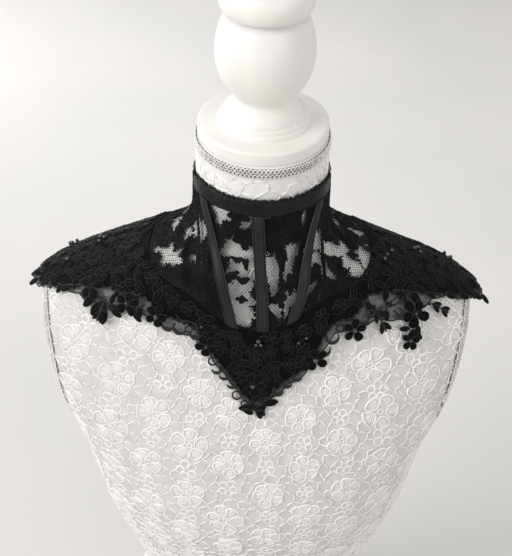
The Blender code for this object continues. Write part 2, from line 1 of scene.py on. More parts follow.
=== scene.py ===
# %% [markdown]
# # A lace neck corset on a dress form
#
# The object is a boned stand collar of black lace net. It runs out over the shoulders
# and ends in a corded lace edge with a point at centre front. A white form with a lace
# cover and a turned wooden finial carries it.
#
# A sculpted mesh would be one way to make it. Here each piece is a sheet of numbers
# instead: a place on the cloth is an angle round the neck and a distance down from the
# collar, and two tables turn that into a point. A seam, a flower or a cord is then a
# short path in those two numbers, so everything lies on the same cloth by itself.

import math

import bpy
import numpy as np
from mathutils import Matrix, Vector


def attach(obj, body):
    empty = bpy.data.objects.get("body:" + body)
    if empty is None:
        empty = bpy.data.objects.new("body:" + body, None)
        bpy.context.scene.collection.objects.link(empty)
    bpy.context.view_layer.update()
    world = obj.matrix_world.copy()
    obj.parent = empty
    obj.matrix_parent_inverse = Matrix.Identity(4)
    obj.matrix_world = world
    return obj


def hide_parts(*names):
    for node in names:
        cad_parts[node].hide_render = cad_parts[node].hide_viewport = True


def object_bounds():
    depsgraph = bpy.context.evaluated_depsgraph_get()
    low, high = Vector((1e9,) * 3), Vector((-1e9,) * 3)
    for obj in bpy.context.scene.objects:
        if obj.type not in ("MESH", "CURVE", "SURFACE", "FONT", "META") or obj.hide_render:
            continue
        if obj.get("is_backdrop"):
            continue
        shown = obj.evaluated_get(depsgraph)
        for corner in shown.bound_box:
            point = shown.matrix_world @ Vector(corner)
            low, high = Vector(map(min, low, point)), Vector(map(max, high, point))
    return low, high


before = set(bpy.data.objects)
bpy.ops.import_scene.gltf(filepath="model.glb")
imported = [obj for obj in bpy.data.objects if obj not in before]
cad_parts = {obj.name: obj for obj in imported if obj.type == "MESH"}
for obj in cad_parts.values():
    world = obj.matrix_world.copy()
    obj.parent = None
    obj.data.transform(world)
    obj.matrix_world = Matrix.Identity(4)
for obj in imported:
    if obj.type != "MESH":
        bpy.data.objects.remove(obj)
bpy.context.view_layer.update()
MM = 0.001
NECK_LEVEL = 620.0
CENTRE = np.array([-0.90, -6.75, 0.0])      # the tables' own axis lies this far off, in mm

# %% [markdown]
# ## Sizes
#
# The form is a stack of ovals, so one row of sizes for each height is enough. The cloth
# lies on nearly the same ovals, but it is pulled straight from the collar to the bust
# and stands free over the arms, so it has three sizes of its own.

# %% Tables of sizes
# Cloth layers, as distances in mm from the surface that the garment lies on.
LACE_IN, LACE_OUT = 0.7, 2.3
OVER_IN = 2.1            # what is sewn on the net: bones and back tapes
BONE_EDGE = 2.9          # the top of a bone channel at its edges
MOTIF_IN = 2.6           # the underside of the sewn flowers and sprays
SEAM_GAP = 0.3

BIND_DROP = 12.0         # height of the elastic binding round the collar's top
BONE_HALF = 4.6          # half width of a boning channel
BACK_HALF_GAP = 1.6      # half of the slit at centre back
EDGE_TAPE = 11.0         # width of the satin tape along each back edge
TAPE_FOOT = 82.0         # where the tape ends, down from the collar's top edge

FLANGE_R, FLANGE_T = 51.0, 10.5
NECK_TILT = 7.0          # degrees that the neck plane leans forward

# Sections of the form, top to bottom. Each is an oval about its own centre:
# height, centre across, centre front to back (front is minus), tilt in degrees,
# half width, depth to the front, depth to the back, squareness of the oval,
# the same three sizes of the surface that the pulled cloth lies on, and how far that
# surface stands out at the arms, where the shoulder caps hang free.
SECTION_COLUMNS = ("height", "across", "along", "tilt", "half", "front", "back", "square",
                   "lay_half", "lay_front", "lay_back", "hang")
SECTIONS = [
    (78, 0.0, -6.4, 7.0, 51.4, 51.4, 51.4, 2.0, 52.8, 52.8, 52.8, 0.0),
    (66, 0.0, -5.4, 7.0, 51.5, 51.5, 51.5, 2.0, 52.9, 52.9, 52.9, 0.0),
    (49, 0.0, -3.7, 6.9, 51.8, 51.8, 51.8, 2.0, 53.2, 53.2, 53.2, 0.0),
    (38, 0.0, -2.7, 6.6, 51.9, 52.0, 52.0, 2.0, 53.3, 54.0, 53.4, 0.0),
    (26, 0.0, -1.8, 6.0, 52.2, 52.4, 52.4, 2.0, 53.5, 56.0, 53.8, 0.0),
    (10, 0.0, -0.5, 4.0, 53.2, 53.6, 54.0, 2.0, 54.2, 59.6, 55.0, 0.0),
    (-2, 0.0, 0.0, 2.0, 56.2, 55.2, 56.0, 2.0, 57.0, 62.6, 57.0, 0.0),
    (-11, 0.0, 0.0, 1.0, 65.5, 56.6, 58.5, 2.0, 66.0, 64.7, 59.2, 0.0),
    (-21, 0.0, 0.0, 0.0, 84.0, 58.6, 61.0, 2.0, 84.3, 66.8, 61.5, 0.0),
    (-29.5, 0.0, 0.0, 0.0, 106.0, 60.8, 63.8, 2.0, 106.2, 68.8, 64.2, 0.0),
    (-38, -0.2, 0.0, 0.0, 129.0, 63.6, 67.0, 2.0, 129.2, 71.0, 67.2, 0.0),
    (-47, -1.0, 0.0, 0.0, 152.5, 67.0, 71.0, 2.0, 152.8, 72.6, 71.0, 0.5),
    (-58, -1.6, 0.0, 0.0, 175.0, 71.2, 76.0, 2.0, 175.3, 75.6, 76.0, 1.0),
    (-72, -2.0, 0.0, 0.0, 191.0, 76.4, 82.0, 2.0, 191.0, 79.2, 82.0, 5.0),
    (-92, -2.0, 0.0, 0.0, 200.0, 83.2, 89.0, 2.1, 200.0, 84.8, 89.0, 10.0),
    (-120, -2.0, 0.0, 0.0, 199.0, 92.5, 95.0, 2.2, 199.0, 93.2, 95.0, 18.0),
    (-150, -2.0, 0.0, 0.0, 189.0, 102.0, 99.0, 2.3, 189.0, 102.4, 99.0, 30.0),
    (-180, -1.6, 0.0, 0.0, 175.0, 110.5, 100.0, 2.4, 175.0, 111.0, 100.0, 44.0),
    (-215, -1.2, 0.0, 0.0, 162.0, 117.5, 98.0, 2.4, 162.0, 118.0, 98.0, 57.0),
    (-250, -0.6, 0.0, 0.0, 153.5, 120.5, 94.0, 2.4, 153.5, 121.0, 94.0, 65.0),
    (-290, 0.0, 0.0, 0.0, 146.0, 116.0, 88.0, 2.35, 146.0, 116.0, 88.0, 70.0),
    (-330, 0.0, 0.0, 0.0, 137.0, 102.0, 80.0, 2.25, 137.0, 102.0, 80.0, 70.0),
    (-370, 0.0, 0.0, 0.0, 125.0, 89.5, 74.0, 2.15, 125.0, 89.5, 74.0, 70.0),
    (-413, 0.0, 0.0, 0.0, 114.5, 83.5, 72.0, 2.1, 114.5, 83.5, 72.0, 70.0),
    (-460, 0.0, 0.0, 0.0, 120.0, 86.0, 82.0, 2.1, 120.0, 86.0, 82.0, 70.0),
    (-520, 0.0, 0.0, 0.0, 143.0, 93.0, 98.0, 2.2, 143.0, 93.0, 98.0, 70.0),
    (-580, 0.0, 0.0, 0.0, 160.0, 98.0, 107.0, 2.25, 160.0, 98.0, 107.0, 70.0),
    (-612, 0.0, 0.0, 0.0, 162.5, 98.0, 107.0, 2.25, 162.5, 98.0, 107.0, 70.0),
    (-620, 0.0, 0.0, 0.0, 157.0, 93.0, 101.0, 2.25, 157.0, 93.0, 101.0, 70.0),
]
COLLAR_ROW = 2           # the section at the collar's top edge
BUST_ROW = 19            # the section at the bust, where the cover's columns are even
FORM_DOWN = 29.0         # mm that a place lies further down on the form than on the cloth
LAY_LONG = 251.0         # length of the cloth's map

# The flat arm plates that close the form at the shoulders.
PLATE_TOP, PLATE_X, PLATE_SLOPE, PLATE_ROUND = -70.0, 185.0, 0.13, 9.0
PLATE_LOW, PLATE_FLARE = -205.0, 0.9

# Seam lines of the garment, as angles round the neck (0 is centre front) at a distance
# down from the collar's top edge.
SEAM_COLUMNS = ("down", "back_r", "side_r", "bone_r", "bone_mid", "bone_l", "side_l", "back_l")
SEAMS = [
    (0, -128, -84, -58, -3.0, 59, 84, 128),
    (17, -128, -78, -52, -2.0, 53, 78, 128),
    (33, -127, -68, -42.5, -1.0, 44.5, 68, 127),
    (62, -126, -46, -27.5, 1.0, 31.5, 47, 126),
    (90, -125, -34, -18.5, 3.0, 24.5, 37, 125),
    (111, -124, -28, -12.8, 4.5, 20, 31, 124),
    (150, -123, -22, -8, 4.5, 14, 25, 123),
    (240, -122, -18, -4, 4.5, 9, 20, 122),
]

# The lace edging: where it begins and where its edge lies, measured down from the
# collar's top edge, at each angle round the neck.
EDGE_COLUMNS = ("angle", "begin", "edge")
EDGES = [
    (-180, 84, 148), (-166, 83, 140), (-150, 83, 132), (-135, 85, 138), (-120, 88, 152),
    (-108, 90, 172), (-97, 91, 194), (-87, 92, 205), (-80, 93, 180), (-73, 95, 160),
    (-65, 96, 150), (-57, 95, 127), (-45, 92, 126), (-38, 93, 124), (-32, 96, 122),
    (-25, 101, 134), (-15, 107, 150), (-8, 109, 164), (0, 110, 178), (8, 109, 172),
    (15, 107, 160), (25, 101, 151), (32, 95, 142), (38, 92, 126), (44, 91, 121),
    (50, 93, 128), (57, 97, 128), (64, 98, 148), (71, 98, 152), (78, 96, 164),
    (86, 93, 204), (97, 91, 194), (108, 90, 172), (120, 88, 152), (135, 85, 138),
    (150, 83, 132), (166, 83, 140), (180, 84, 148),
]
SCALLOP = 6.5            # depth of a scallop

# Pieces of the lace edging: name, first and last angle, number of scallops.
LACES = [
    ("lace_back_right", -178.9, -128, 7),
    ("lace_shoulder_right", -128, -58, 14),
    ("lace_front", -58, 57, 14),
    ("lace_shoulder_left", 57, 128, 14),
    ("lace_back_left", 128, 178.9, 7),
]

# Flowers sewn over the lace edge: name, angle, distance down, radius, petals, turn.
FLOWERS = [
    ("flower_hang_right", -73.0, 150, 11.5, 5, 10),
    ("flower_chest_right", -60.5, 131, 10.5, 5, 60),
    ("flower_pearl_right", -49.5, 122, 10.0, 5, 30),
    ("flower_vee_right", -26.0, 128, 10.0, 5, 0),
    ("flower_vee_tip", -0.5, 157, 12.0, 6, 20),
    ("flower_vee_left", 31.0, 139, 10.5, 5, 45),
    ("flower_chest_left", 48.5, 127, 11.0, 5, 15),
    ("flower_spray_left", 67.5, 150, 13.0, 5, 37),
    ("flower_hang_left", 63.3, 164.9, 8.5, 5, 1),
]

# Leaf sprays over the lace edge: name, root (angle, down), the way it runs as degrees
# turned from straight down, length, width of a leaf, and number of leaf pairs.
SPRAYS = [
    ("spray_hang_right", -66.5, 143, 10, 20, 3.6, 2),
    ("spray_vee_point", -5.5, 178, 85, 20, 5.0, 2),
    ("spray_chest_left", 57.5, 122, 5, 22, 3.8, 2),
    ("spray_outer_left", 73.0, 158, 20, 18, 3.6, 2),
]

# Turned finial: radius and height above the flange's top face.
FINIAL = [
    (35.5, 0.0), (35.5, 3.2), (33.4, 3.6), (33.4, 6.4), (31.2, 6.8), (31.2, 9.4),
    (27.5, 12.5), (24.6, 17.0), (23.4, 21.5), (25.0, 25.0), (29.5, 31.0), (33.8, 39.0),
    (36.4, 48.0), (37.2, 57.0), (36.6, 66.0), (34.6, 75.0), (31.6, 83.0), (28.6, 88.0),
    (31.8, 89.5), (34.0, 94.0), (34.2, 100.0), (32.0, 106.0), (26.0, 109.5),
    (17.0, 111.0), (14.0, 116.0), (15.0, 122.0), (19.0, 129.0), (20.0, 136.0),
    (17.5, 143.0), (11.0, 148.5),
]
FINIAL_TIP = 150.5

# %% [markdown]
# ## From numbers to points
#
# A Catmull-Rom curve through each column gives the sizes at any height. Then the form
# and the cloth are each kept as a map: rows of points one millimetre apart along lines
# that run down from the neck. Reading a map is only a weighted mean of four neighbours,
# so hundreds of thousands of points cost nothing.

# %% Ovals and maps
def columns(names, rows):
    """A table as a dict of arrays, one for each named column."""
    return {n: np.array([r[i] for r in rows]) for i, n in enumerate(names)}


SEC = columns(SECTION_COLUMNS, SECTIONS)
SEAM = columns(SEAM_COLUMNS, SEAMS)
EDGE = columns(EDGE_COLUMNS, EDGES)


def catmull_rom(p0, p1, p2, p3, f):
    """The smooth curve from p1 to p2, at the part f of the way."""
    return 0.5 * (2 * p1 + (p2 - p0) * f + (2 * p0 - 5 * p1 + 4 * p2 - p3) * f ** 2
                  + (3 * p1 - p0 - 3 * p2 + p3) * f ** 3)


def between_sections(name, t):
    """A column of SECTIONS at row number t, through a Catmull-Rom curve."""
    v = SEC[name].astype(float)
    n = len(v)
    i = np.clip(np.floor(t).astype(int), 0, n - 2)
    p1, p2 = v[i], v[i + 1]
    p0 = np.where(i > 0, v[np.maximum(i - 1, 0)], 2 * p1 - p2)
    p3 = np.where(i < n - 2, v[np.minimum(i + 2, n - 1)], 2 * p2 - p1)
    return catmull_rom(p0, p1, p2, p3, t - i)


def lengths(points):
    """Running length along each row of a grid of points, or along one row."""
    step = np.linalg.norm(np.diff(points, axis=-2), axis=-1)
    return np.concatenate([np.zeros(step.shape[:-1] + (1,)), np.cumsum(step, -1)], -1)


def plate_limit(h):
    """How far out the arm plate's plane is at a height; below it the body is whole."""
    return (PLATE_X + PLATE_SLOPE * (h - PLATE_TOP)
            + PLATE_FLARE * np.maximum(PLATE_LOW - h, 0.0))


def section_point(angle, t, lay=False):
    """Point of an oval |x/half|^n + |y/depth|^n = 1 at an angle, for row number t.

    The arm plates cut it off flat, with a rounded rim. lay=True gives the cloth's oval."""
    angle, t = np.broadcast_arrays(np.asarray(angle, float), np.asarray(t, float))
    pre = "lay_" if lay else ""
    h = between_sections("height", t)
    tilt = np.radians(between_sections("tilt", t))
    a, fr, bk = (between_sections(pre + k, t) for k in ("half", "front", "back"))
    n = between_sections("square", t)
    s, c = np.sin(np.radians(angle)), np.cos(np.radians(angle))
    b = np.where(c > 0, fr, bk)
    r = (np.abs(s / a) ** n + np.abs(c / b) ** n) ** (-1 / n)
    if lay:
        r = r + between_sections("hang", t) * np.abs(s) ** 14
    else:
        lim = plate_limit(h) / np.maximum(np.abs(s), 1e-6)
        d = r - lim
        k = PLATE_ROUND
        r = np.where(d > k, lim, np.where(d < -k, r, r - (d + k) ** 2 / (4 * k)))
    x = between_sections("across", t) + r * s
    y = between_sections("along", t) - r * c * np.cos(tilt)
    z = NECK_LEVEL + h - r * c * np.sin(tilt)
    return np.stack([x, y, z], -1)


def make_map(first, last, count, lay, step):
    """Points one mm apart along lines at each angle, their outward directions, and the
    length of each line."""
    ang = np.arange(-180, 180 + step, step)
    t = np.linspace(first, last, count)
    p = section_point(ang[:, None], t[None, :], lay=lay)
    run = lengths(p)
    down = np.arange(0, LAY_LONG if lay else int(run[:, -1].max()) + 2.0)
    grid = np.empty((len(ang), len(down), 3))
    for i in range(len(ang)):
        for k in range(3):
            grid[i, :, k] = np.interp(down, run[i], p[i, :, k])
    wrap = np.concatenate([grid[-2:-1], grid, grid[1:2]], 0)
    normal = np.cross(np.gradient(grid, axis=1), wrap[2:] - wrap[:-2])
    size = np.linalg.norm(normal, axis=-1, keepdims=True)
    return grid, normal / np.maximum(size, 1e-9), step, run[:, -1]


def read_map(m, angle, down, out=0.0):
    """The weighted mean of the four points round a place, moved out along their normal."""
    points, normals, step, _ = m
    angle, down, out = np.broadcast_arrays(np.asarray(angle, float), np.asarray(down, float),
                                           np.asarray(out, float))
    u = ((angle + 180.0) % 360.0) / step
    above = np.minimum(down, 0.0)
    v = np.clip(down, 0, points.shape[1] - 1.001)
    i, j = np.floor(u).astype(int), np.floor(v).astype(int)
    i = np.minimum(i, points.shape[0] - 2)
    f, g = (u - i)[..., None], (v - j)[..., None]
    p, n = ((q[i, j] * (1 - f) + q[i + 1, j] * f) * (1 - g)
            + (q[i, j + 1] * (1 - f) + q[i + 1, j + 1] * f) * g for q in (points, normals))
    n = n / np.maximum(np.linalg.norm(n, axis=-1, keepdims=True), 1e-9)
    return p + n * out[..., None] - above[..., None] * np.array([0, 0, 1.0])


LAY_MAP = make_map(COLLAR_ROW, 20.0, 541, True, 0.5)
FORM_MAP = make_map(0, len(SECTIONS) - 1.001, 1401, False, 1.0)


def lay(angle, down, out=0.0):
    """A point on the smooth lay of the cloth, down from the collar's top edge."""
    return read_map(LAY_MAP, angle, down, out)


def across_rate(angle, down, surface=lay):
    """Millimetres per degree, square to the way down and along it, at a place."""
    angle, down = np.asarray(angle, float), np.asarray(down, float)
    pa = surface(angle + 0.5, down) - surface(angle - 0.5, down)
    pd = surface(angle, down + 1.0) - surface(angle, down - 1.0)
    pd /= np.maximum(np.linalg.norm(pd, axis=-1, keepdims=True), 1e-9)
    slip = np.sum(pa * pd, axis=-1)
    return np.linalg.norm(pa - slip[..., None] * pd, axis=-1), slip


def degrees_for(width, angle, down):
    """The angle that a width in mm, square to the way down, takes up on the cloth."""
    return width / across_rate(angle, down)[0]


def eased(angle, name):
    """The lace table between its rows, with its corners rounded off."""
    off = (-3.0, -1.5, 0.0, 1.5, 3.0)
    return sum(np.interp(angle + o, EDGE["angle"], EDGE[name], period=360) for o in off) / 5


def seam(name, down):
    """The angle of a seam line of the garment, at a distance down."""
    return np.interp(down, SEAM["down"], SEAM[name])


# %% [markdown]
# ## Creases
#
# Net that is boned and pulled over a shoulder isn't smooth. It has a few soft ridges
# that fan out from the foot of the collar and more at the sides than in front. They
# could come from a simulation, but the bones hold the real ones in fixed places, so
# they are listed: each row is a long soft ridge with its own place and length.

# %% Creases, listed one by one
# Each row: angle, distance down, turn in degrees, half length, half width and height.
CREASES = [
    (-66, 46, 20, 34, 3.0, 1.5), (-76, 52, 5, 40, 3.4, 1.2), (-92, 58, -4, 44, 3.6, 1.6),
    (-108, 60, -10, 38, 3.0, 1.1), (-58, 66, 34, 30, 2.6, 0.9), (68, 48, -16, 36, 3.0, 1.4),
    (79, 55, -4, 42, 3.4, 1.5), (95, 57, 6, 40, 3.6, 1.2), (110, 62, 12, 34, 3.2, 1.4),
    (56, 64, -30, 28, 2.4, 1.0), (-38, 52, 12, 26, 2.2, 0.7), (40, 50, -14, 30, 2.4, 0.8),
    (-140, 52, -14, 40, 3.4, 1.2), (-158, 60, -6, 34, 3.0, 0.9), (142, 54, 12, 36, 3.2, 1.1),
    (161, 58, 4, 40, 3.0, 1.0), (-84, 20, 0, 24, 2.6, 0.8), (86, 24, 2, 22, 2.4, 0.9),
    (-70, 118, 18, 36, 5.0, 1.2), (-96, 130, 0, 50, 6.0, 1.6), (74, 120, -14, 40, 5.0, 1.3),
    (99, 132, 4, 48, 6.0, 1.5), (-150, 100, -8, 36, 5.0, 1.1), (148, 104, 8, 38, 5.0, 1.2),
]


def from_place(angle, down, place_angle, place_down, turn):
    """How far places lie across and along from one place, on axes turned by some degrees,
    in mm, and how many degrees lie between."""
    rate, slip = (float(v) for v in across_rate(place_angle, place_down))
    away = (angle - place_angle + 180) % 360 - 180
    x, y = away * rate, down - place_down + away * slip
    t = math.radians(turn)
    return x * math.cos(t) - y * math.sin(t), x * math.sin(t) + y * math.cos(t), away


def crease_height(angle, down):
    """Sum of ridges, each exp(-(across/wide)^2 - (along/long)^2) times its height, in mm."""
    total = np.zeros(np.broadcast(angle, down).shape)
    for a, d, turn, long, wide, high in CREASES:
        across, along, _ = from_place(angle, down, a, d, turn)
        total += high * np.exp(-(across / wide) ** 2 - (along / long) ** 2)
    return total


def creased_map():
    """The lay of the cloth with every point moved out by the creases there."""
    points, normals, step, length = LAY_MAP
    ang = -180.0 + step * np.arange(points.shape[0])
    rise = crease_height(ang[:, None], np.arange(points.shape[1])[None, :] * 1.0)
    return points + normals * rise[..., None], normals, step, length


CLOTH_MAP = creased_map()


def cloth(angle, down, out=0.0):
    """A point on the garment, down from the collar's top and out from the creased lay."""
    return read_map(CLOTH_MAP, angle, down, out)


def on_form(angle, down, out=0.0):
    """A point on the form's own surface, down from the neck's top along the surface."""
    return read_map(FORM_MAP, angle, down, out)


def aside(surface, angle, down, across, along):
    """The place some mm across and further down, from the local rates of the surface."""
    rate, slip = across_rate(angle, down, surface)
    turn = across / np.maximum(rate, 1e-6)
    return angle + turn, down + along - turn * slip


def form_length(angle):
    """How long the form is from the neck's top to the base, along its surface."""
    return np.interp(angle, np.arange(-180, 181, 1.0), FORM_MAP[3])


print("cloth map", LAY_MAP[0].shape, "form map", FORM_MAP[0].shape)

# %% [markdown]
# ## Meshes from arrays
#
# Every piece is put together from chunks: a block of points, four-sided faces,
# three-sided faces, and a flat place for each point in metres, which its material reads.
# Blender's own operators could do this too, but arrays are faster, and the whole lace is
# then a handful of calls.

# %% Chunks, shells and cords
def chunk(points, quads, tris, flat, slot=0):
    """Points, faces and flat places as plain arrays; slot is the finish of the faces."""
    return dict(v=np.asarray(points, float).reshape(-1, 3),
                q=np.asarray(quads, int).reshape(-1, 4),
                t=np.asarray(tris, int).reshape(-1, 3),
                uv=np.asarray(flat, float).reshape(-1, 2), slot=slot)


def make_piece(name, chunks, materials, smooth=True):
    """Joins chunks into one object at the origin; points are in mm and end in metres."""
    start = np.cumsum([0] + [len(c["v"]) for c in chunks])
    verts = (np.concatenate([c["v"] for c in chunks]) - CENTRE) * MM
    quads = np.concatenate([c["q"] + s for c, s in zip(chunks, start)])
    tris = np.concatenate([c["t"] + s for c, s in zip(chunks, start)])
    flat = np.concatenate([c["uv"] for c in chunks])
    slots = np.concatenate([np.broadcast_to(c["slot"], len(c["q"])) for c in chunks]
                           + [np.full(len(c["t"]), np.ravel(c["slot"])[0]) for c in chunks])
    loops = np.concatenate([quads.ravel(), tris.ravel()])
    begin = np.concatenate([np.arange(len(quads)) * 4,
                            len(quads) * 4 + np.arange(len(tris)) * 3])
    mesh = bpy.data.meshes.new(name)
    mesh.vertices.add(len(verts))
    mesh.vertices.foreach_set("co", verts.astype(np.float32).ravel())
    mesh.loops.add(len(loops))
    mesh.loops.foreach_set("vertex_index", loops.astype(np.int32))
    mesh.polygons.add(len(begin))
    mesh.polygons.foreach_set("loop_start", begin.astype(np.int32))
    mesh.polygons.foreach_set("material_index", slots.astype(np.int32))
    mesh.polygons.foreach_set("use_smooth", np.full(len(begin), smooth))
    layer = mesh.uv_layers.new(name="flat")
    layer.data.foreach_set("uv", flat[loops].astype(np.float32).ravel())
    mesh.update(calc_edges=True)
    mesh.validate()
    for m in materials:
        mesh.materials.append(m)
    obj = bpy.data.objects.new(name, mesh)
    bpy.context.scene.collection.objects.link(obj)
    print(name, "triangles", len(quads) * 2 + len(tris))
    return obj


def belongs(obj, node_name=None):
    """Hides the model's node that a piece stands for, and hangs the piece on the root body."""
    if node_name:
        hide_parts(node_name)
    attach(obj, "root")


def sheet_area(points):
    """Area of a grid of points, in square mm, from the cross products of its cells."""
    a = points[1:, :-1] - points[:-1, :-1]
    b = points[:-1, 1:] - points[:-1, :-1]
    return float(np.linalg.norm(np.cross(a, b), axis=-1).sum())


def sheet_sides(points):
    """The longest way across and down a grid of points, in metres."""
    return tuple(float(lengths(p)[:, -1].max()) * MM for p in (points.swapaxes(0, 1), points))


def shell(outer, inner, flat, second=None):
    """Two grids of points joined by a rim: a closed wall that faces outward.

    second is True for each cell of the grid that takes the piece's second finish."""
    nu, nv = outer.shape[:2]
    idx = np.arange(nu * nv).reshape(nu, nv)
    low = idx + nu * nv
    top = np.stack([idx[:-1, :-1], idx[:-1, 1:], idx[1:, 1:], idx[1:, :-1]], -1)
    base = np.stack([low[:-1, :-1], low[1:, :-1], low[1:, 1:], low[:-1, 1:]], -1)
    ring = np.concatenate([idx[:-1, 0], idx[-1, :-1], idx[:0:-1, -1], idx[0, :0:-1]])
    nxt = np.roll(ring, -1)
    rim = np.stack([ring, nxt, nxt + nu * nv, ring + nu * nv], -1)
    quads = np.concatenate([top.reshape(-1, 4), base.reshape(-1, 4), rim])
    slot = np.zeros(len(quads), int)
    if second is not None:
        slot[:2 * second.size] = np.tile(second.ravel(), 2)
    return chunk(np.concatenate([outer.reshape(-1, 3), inner.reshape(-1, 3)]), quads,
                 np.zeros((0, 3)), np.concatenate([flat.reshape(-1, 2)] * 2), slot)


def tube_faces(n, m):
    """Faces of a tube of n rings of m points, with a middle point after them for each end."""
    idx = np.arange(n * m).reshape(n, m)
    k = np.roll(idx, -1, 1)
    return (np.stack([idx[:-1], idx[1:], k[1:], k[:-1]], -1).reshape(-1, 4),
            np.concatenate([np.stack([idx[0], k[0], np.full(m, n * m)], -1),
                            np.stack([k[-1], idx[-1], np.full(m, n * m + 1)], -1)]))


CORD_SECTIONS = {
    3: [(-1.0, 0.0), (0.0, 1.0), (1.0, 0.0)],
    4: [(-1.0, 0.0), (-0.6, 0.9), (0.6, 0.9), (1.0, 0.0)],
    5: [(-0.9, 0.0), (-0.85, 0.65), (0.0, 1.0), (0.85, 0.65), (0.9, 0.0)],
}


def cord_along(points, up, half, high, sides=3, closed=False, slot=0):
    """Carries a small arch along many paths at once; every path has the same count.

    A point of the section is path + half * across * side + high * height * up."""
    run = np.roll(points, -1, 1) - np.roll(points, 1, 1)
    if not closed:
        run[:, 0] = points[:, 1] - points[:, 0]
        run[:, -1] = points[:, -1] - points[:, -2]
    step = np.linalg.norm(run, axis=-1, keepdims=True)
    run = run / np.maximum(step, 1e-9)
    side = np.cross(run, up)
    sect = np.array(CORD_SECTIONS[sides])
    half = np.broadcast_to(np.asarray(half, float), points.shape[:2])[..., None, None]
    high = np.broadcast_to(np.asarray(high, float), points.shape[:2])[..., None, None]
    v = (points[:, :, None] + side[:, :, None] * half * sect[:, 0][:, None]
         + up[:, :, None] * high * sect[:, 1][:, None])
    m, n, k = len(points), points.shape[1], sides
    idx = np.arange(m * n * k).reshape(m, n, k)
    nxt = np.roll(idx, -1, 1) if closed else idx[:, 1:]
    cur = idx if closed else idx[:, :-1]
    quads = np.stack([cur, np.roll(cur, -1, 2), np.roll(nxt, -1, 2), nxt], -1)
    tris = np.zeros((0, 3), int)
    if not closed:
        fan = [(0, j, j + 1) for j in range(1, k - 1)]
        first = np.concatenate([idx[:, 0][:, f[::-1]] for f in fan])
        last = np.concatenate([idx[:, -1][:, f] for f in fan])
        tris = np.concatenate([first, last])
    flat = np.stack([np.broadcast_to(lengths(points)[..., None], v.shape[:3]) * MM,
                     np.broadcast_to(sect[:, 0] * 0.0005, v.shape[:3])], -1)
    return chunk(v, quads, tris, flat, slot)


def cord_on(surface, angle, down, base, half, high, sides=3, closed=False, slot=0):
    """A cord that lies on a surface, its paths given as angles and distances down."""
    p = surface(angle, down, base)
    up = surface(angle, down, base + 1.0) - p
    up /= np.linalg.norm(up, axis=-1, keepdims=True)
    return cord_along(p, up, half, high, sides, closed, slot)


def as_rows(*values):
    """The values as arrays of numbers of one shape, with at least one item each."""
    return np.broadcast_arrays(*(np.atleast_1d(np.asarray(v, float)) for v in values))


def spread(surface, angle, down, turn, size, local):
    """Copies of one flat outline: turned, scaled, and laid on a surface at many places.

    local has a row (across, along) for each point; turn is in degrees from straight down."""
    angle, down, turn, size = as_rows(angle, down, turn, size)
    t = np.radians(turn)[:, None]
    x, y = local[..., 0] * size[:, None], local[..., 1] * size[:, None]
    return aside(surface, angle[:, None] + 0 * x, down[:, None] + 0 * x,
                 y * np.sin(t) + x * np.cos(t), y * np.cos(t) - x * np.sin(t))


def plates_on(surface, angle, down, turn, size, local, base, thick, crown):
    """Closed plates with one outline, domed by crown over their middle."""
    middle = local[:, 1].mean()
    mid = np.stack([local[:, 0] * 0.5, middle + (local[:, 1] - middle) * 0.5], -1)
    hub = np.array([[0.0, middle]])
    n = len(local)
    v = np.concatenate([surface(*spread(surface, angle, down, turn, size, part), out)
                        for part, out in ((local, base + thick),
                                          (mid, base + thick + crown * 0.8),
                                          (hub, base + thick + crown),
                                          (local, base), (hub, base))], 1)
    m = len(v)
    j = np.arange(n)
    k = (j + 1) % n
    quads = np.concatenate([np.stack([j, k, n + k, n + j], -1),
                            np.stack([2 * n + 1 + j, 2 * n + 1 + k, k, j], -1)])
    tris = np.concatenate([np.stack([n + j, n + k, 2 * n + 0 * j], -1),
                           np.stack([2 * n + 1 + k, 2 * n + 1 + j, 3 * n + 1 + 0 * j], -1)])
    span = 3 * n + 2
    off = (np.arange(m) * span)[:, None, None]
    flat = np.concatenate([local, mid, hub, local, hub])
    scale = np.broadcast_to(np.atleast_1d(np.asarray(size, float)), (m,))[:, None, None]
    return chunk(v, quads[None] + off, tris[None] + off, flat[None] * scale * MM)


print("helpers ready")

# %% [markdown]
# ## Finishes
#
# Each finish starts from the real material. Colours are picked as the usual hex numbers,
# which one function turns to the linear values that Blender works in. Patterns read the
# flat places in metres that every chunk carries, or the object's own coordinates, so a
# thread or a speck has its real size everywhere.

# %% Small helpers for materials
WAVE_LENGTH = 0.314      # metres from band to band of a wave texture at scale 1


def linear(hexcode):
    """sRGB hex to linear: c/12.92 below 0.04045, else ((c+0.055)/1.055)^2.4."""
    c = np.array([int(hexcode[i:i + 2], 16) for i in (1, 3, 5)]) / 255.0
    c = np.where(c < 0.04045, c / 12.92, ((c + 0.055) / 1.055) ** 2.4)
    return (*c.tolist(), 1.0)


def node(mat, kind, settings=None, **links):
    """Adds one node: settings go to its properties or sockets, links join its inputs."""
    n = mat.node_tree.nodes.new(kind)
    for key, value in (settings or {}).items():
        if key in n.inputs:
            n.inputs[key].default_value = value
        else:
            setattr(n, key, value)
    for key, source in links.items():
        mat.node_tree.links.new(source, n.inputs[key.replace("_", " ")])
    return n


def new_finish(name):
    """An empty material, and the place in the object's own coordinates."""
    mat = bpy.data.materials.new(name)
    mat.use_nodes = True
    mat.node_tree.nodes.clear()
    return mat, node(mat, "ShaderNodeTexCoord").outputs["Object"]


def end_finish(mat, settings, **links):
    """Ends a material with its shader."""
    shader = node(mat, "ShaderNodeBsdfPrincipled", settings, **links)
    node(mat, "ShaderNodeOutputMaterial", Surface=shader.outputs["BSDF"])
    return mat


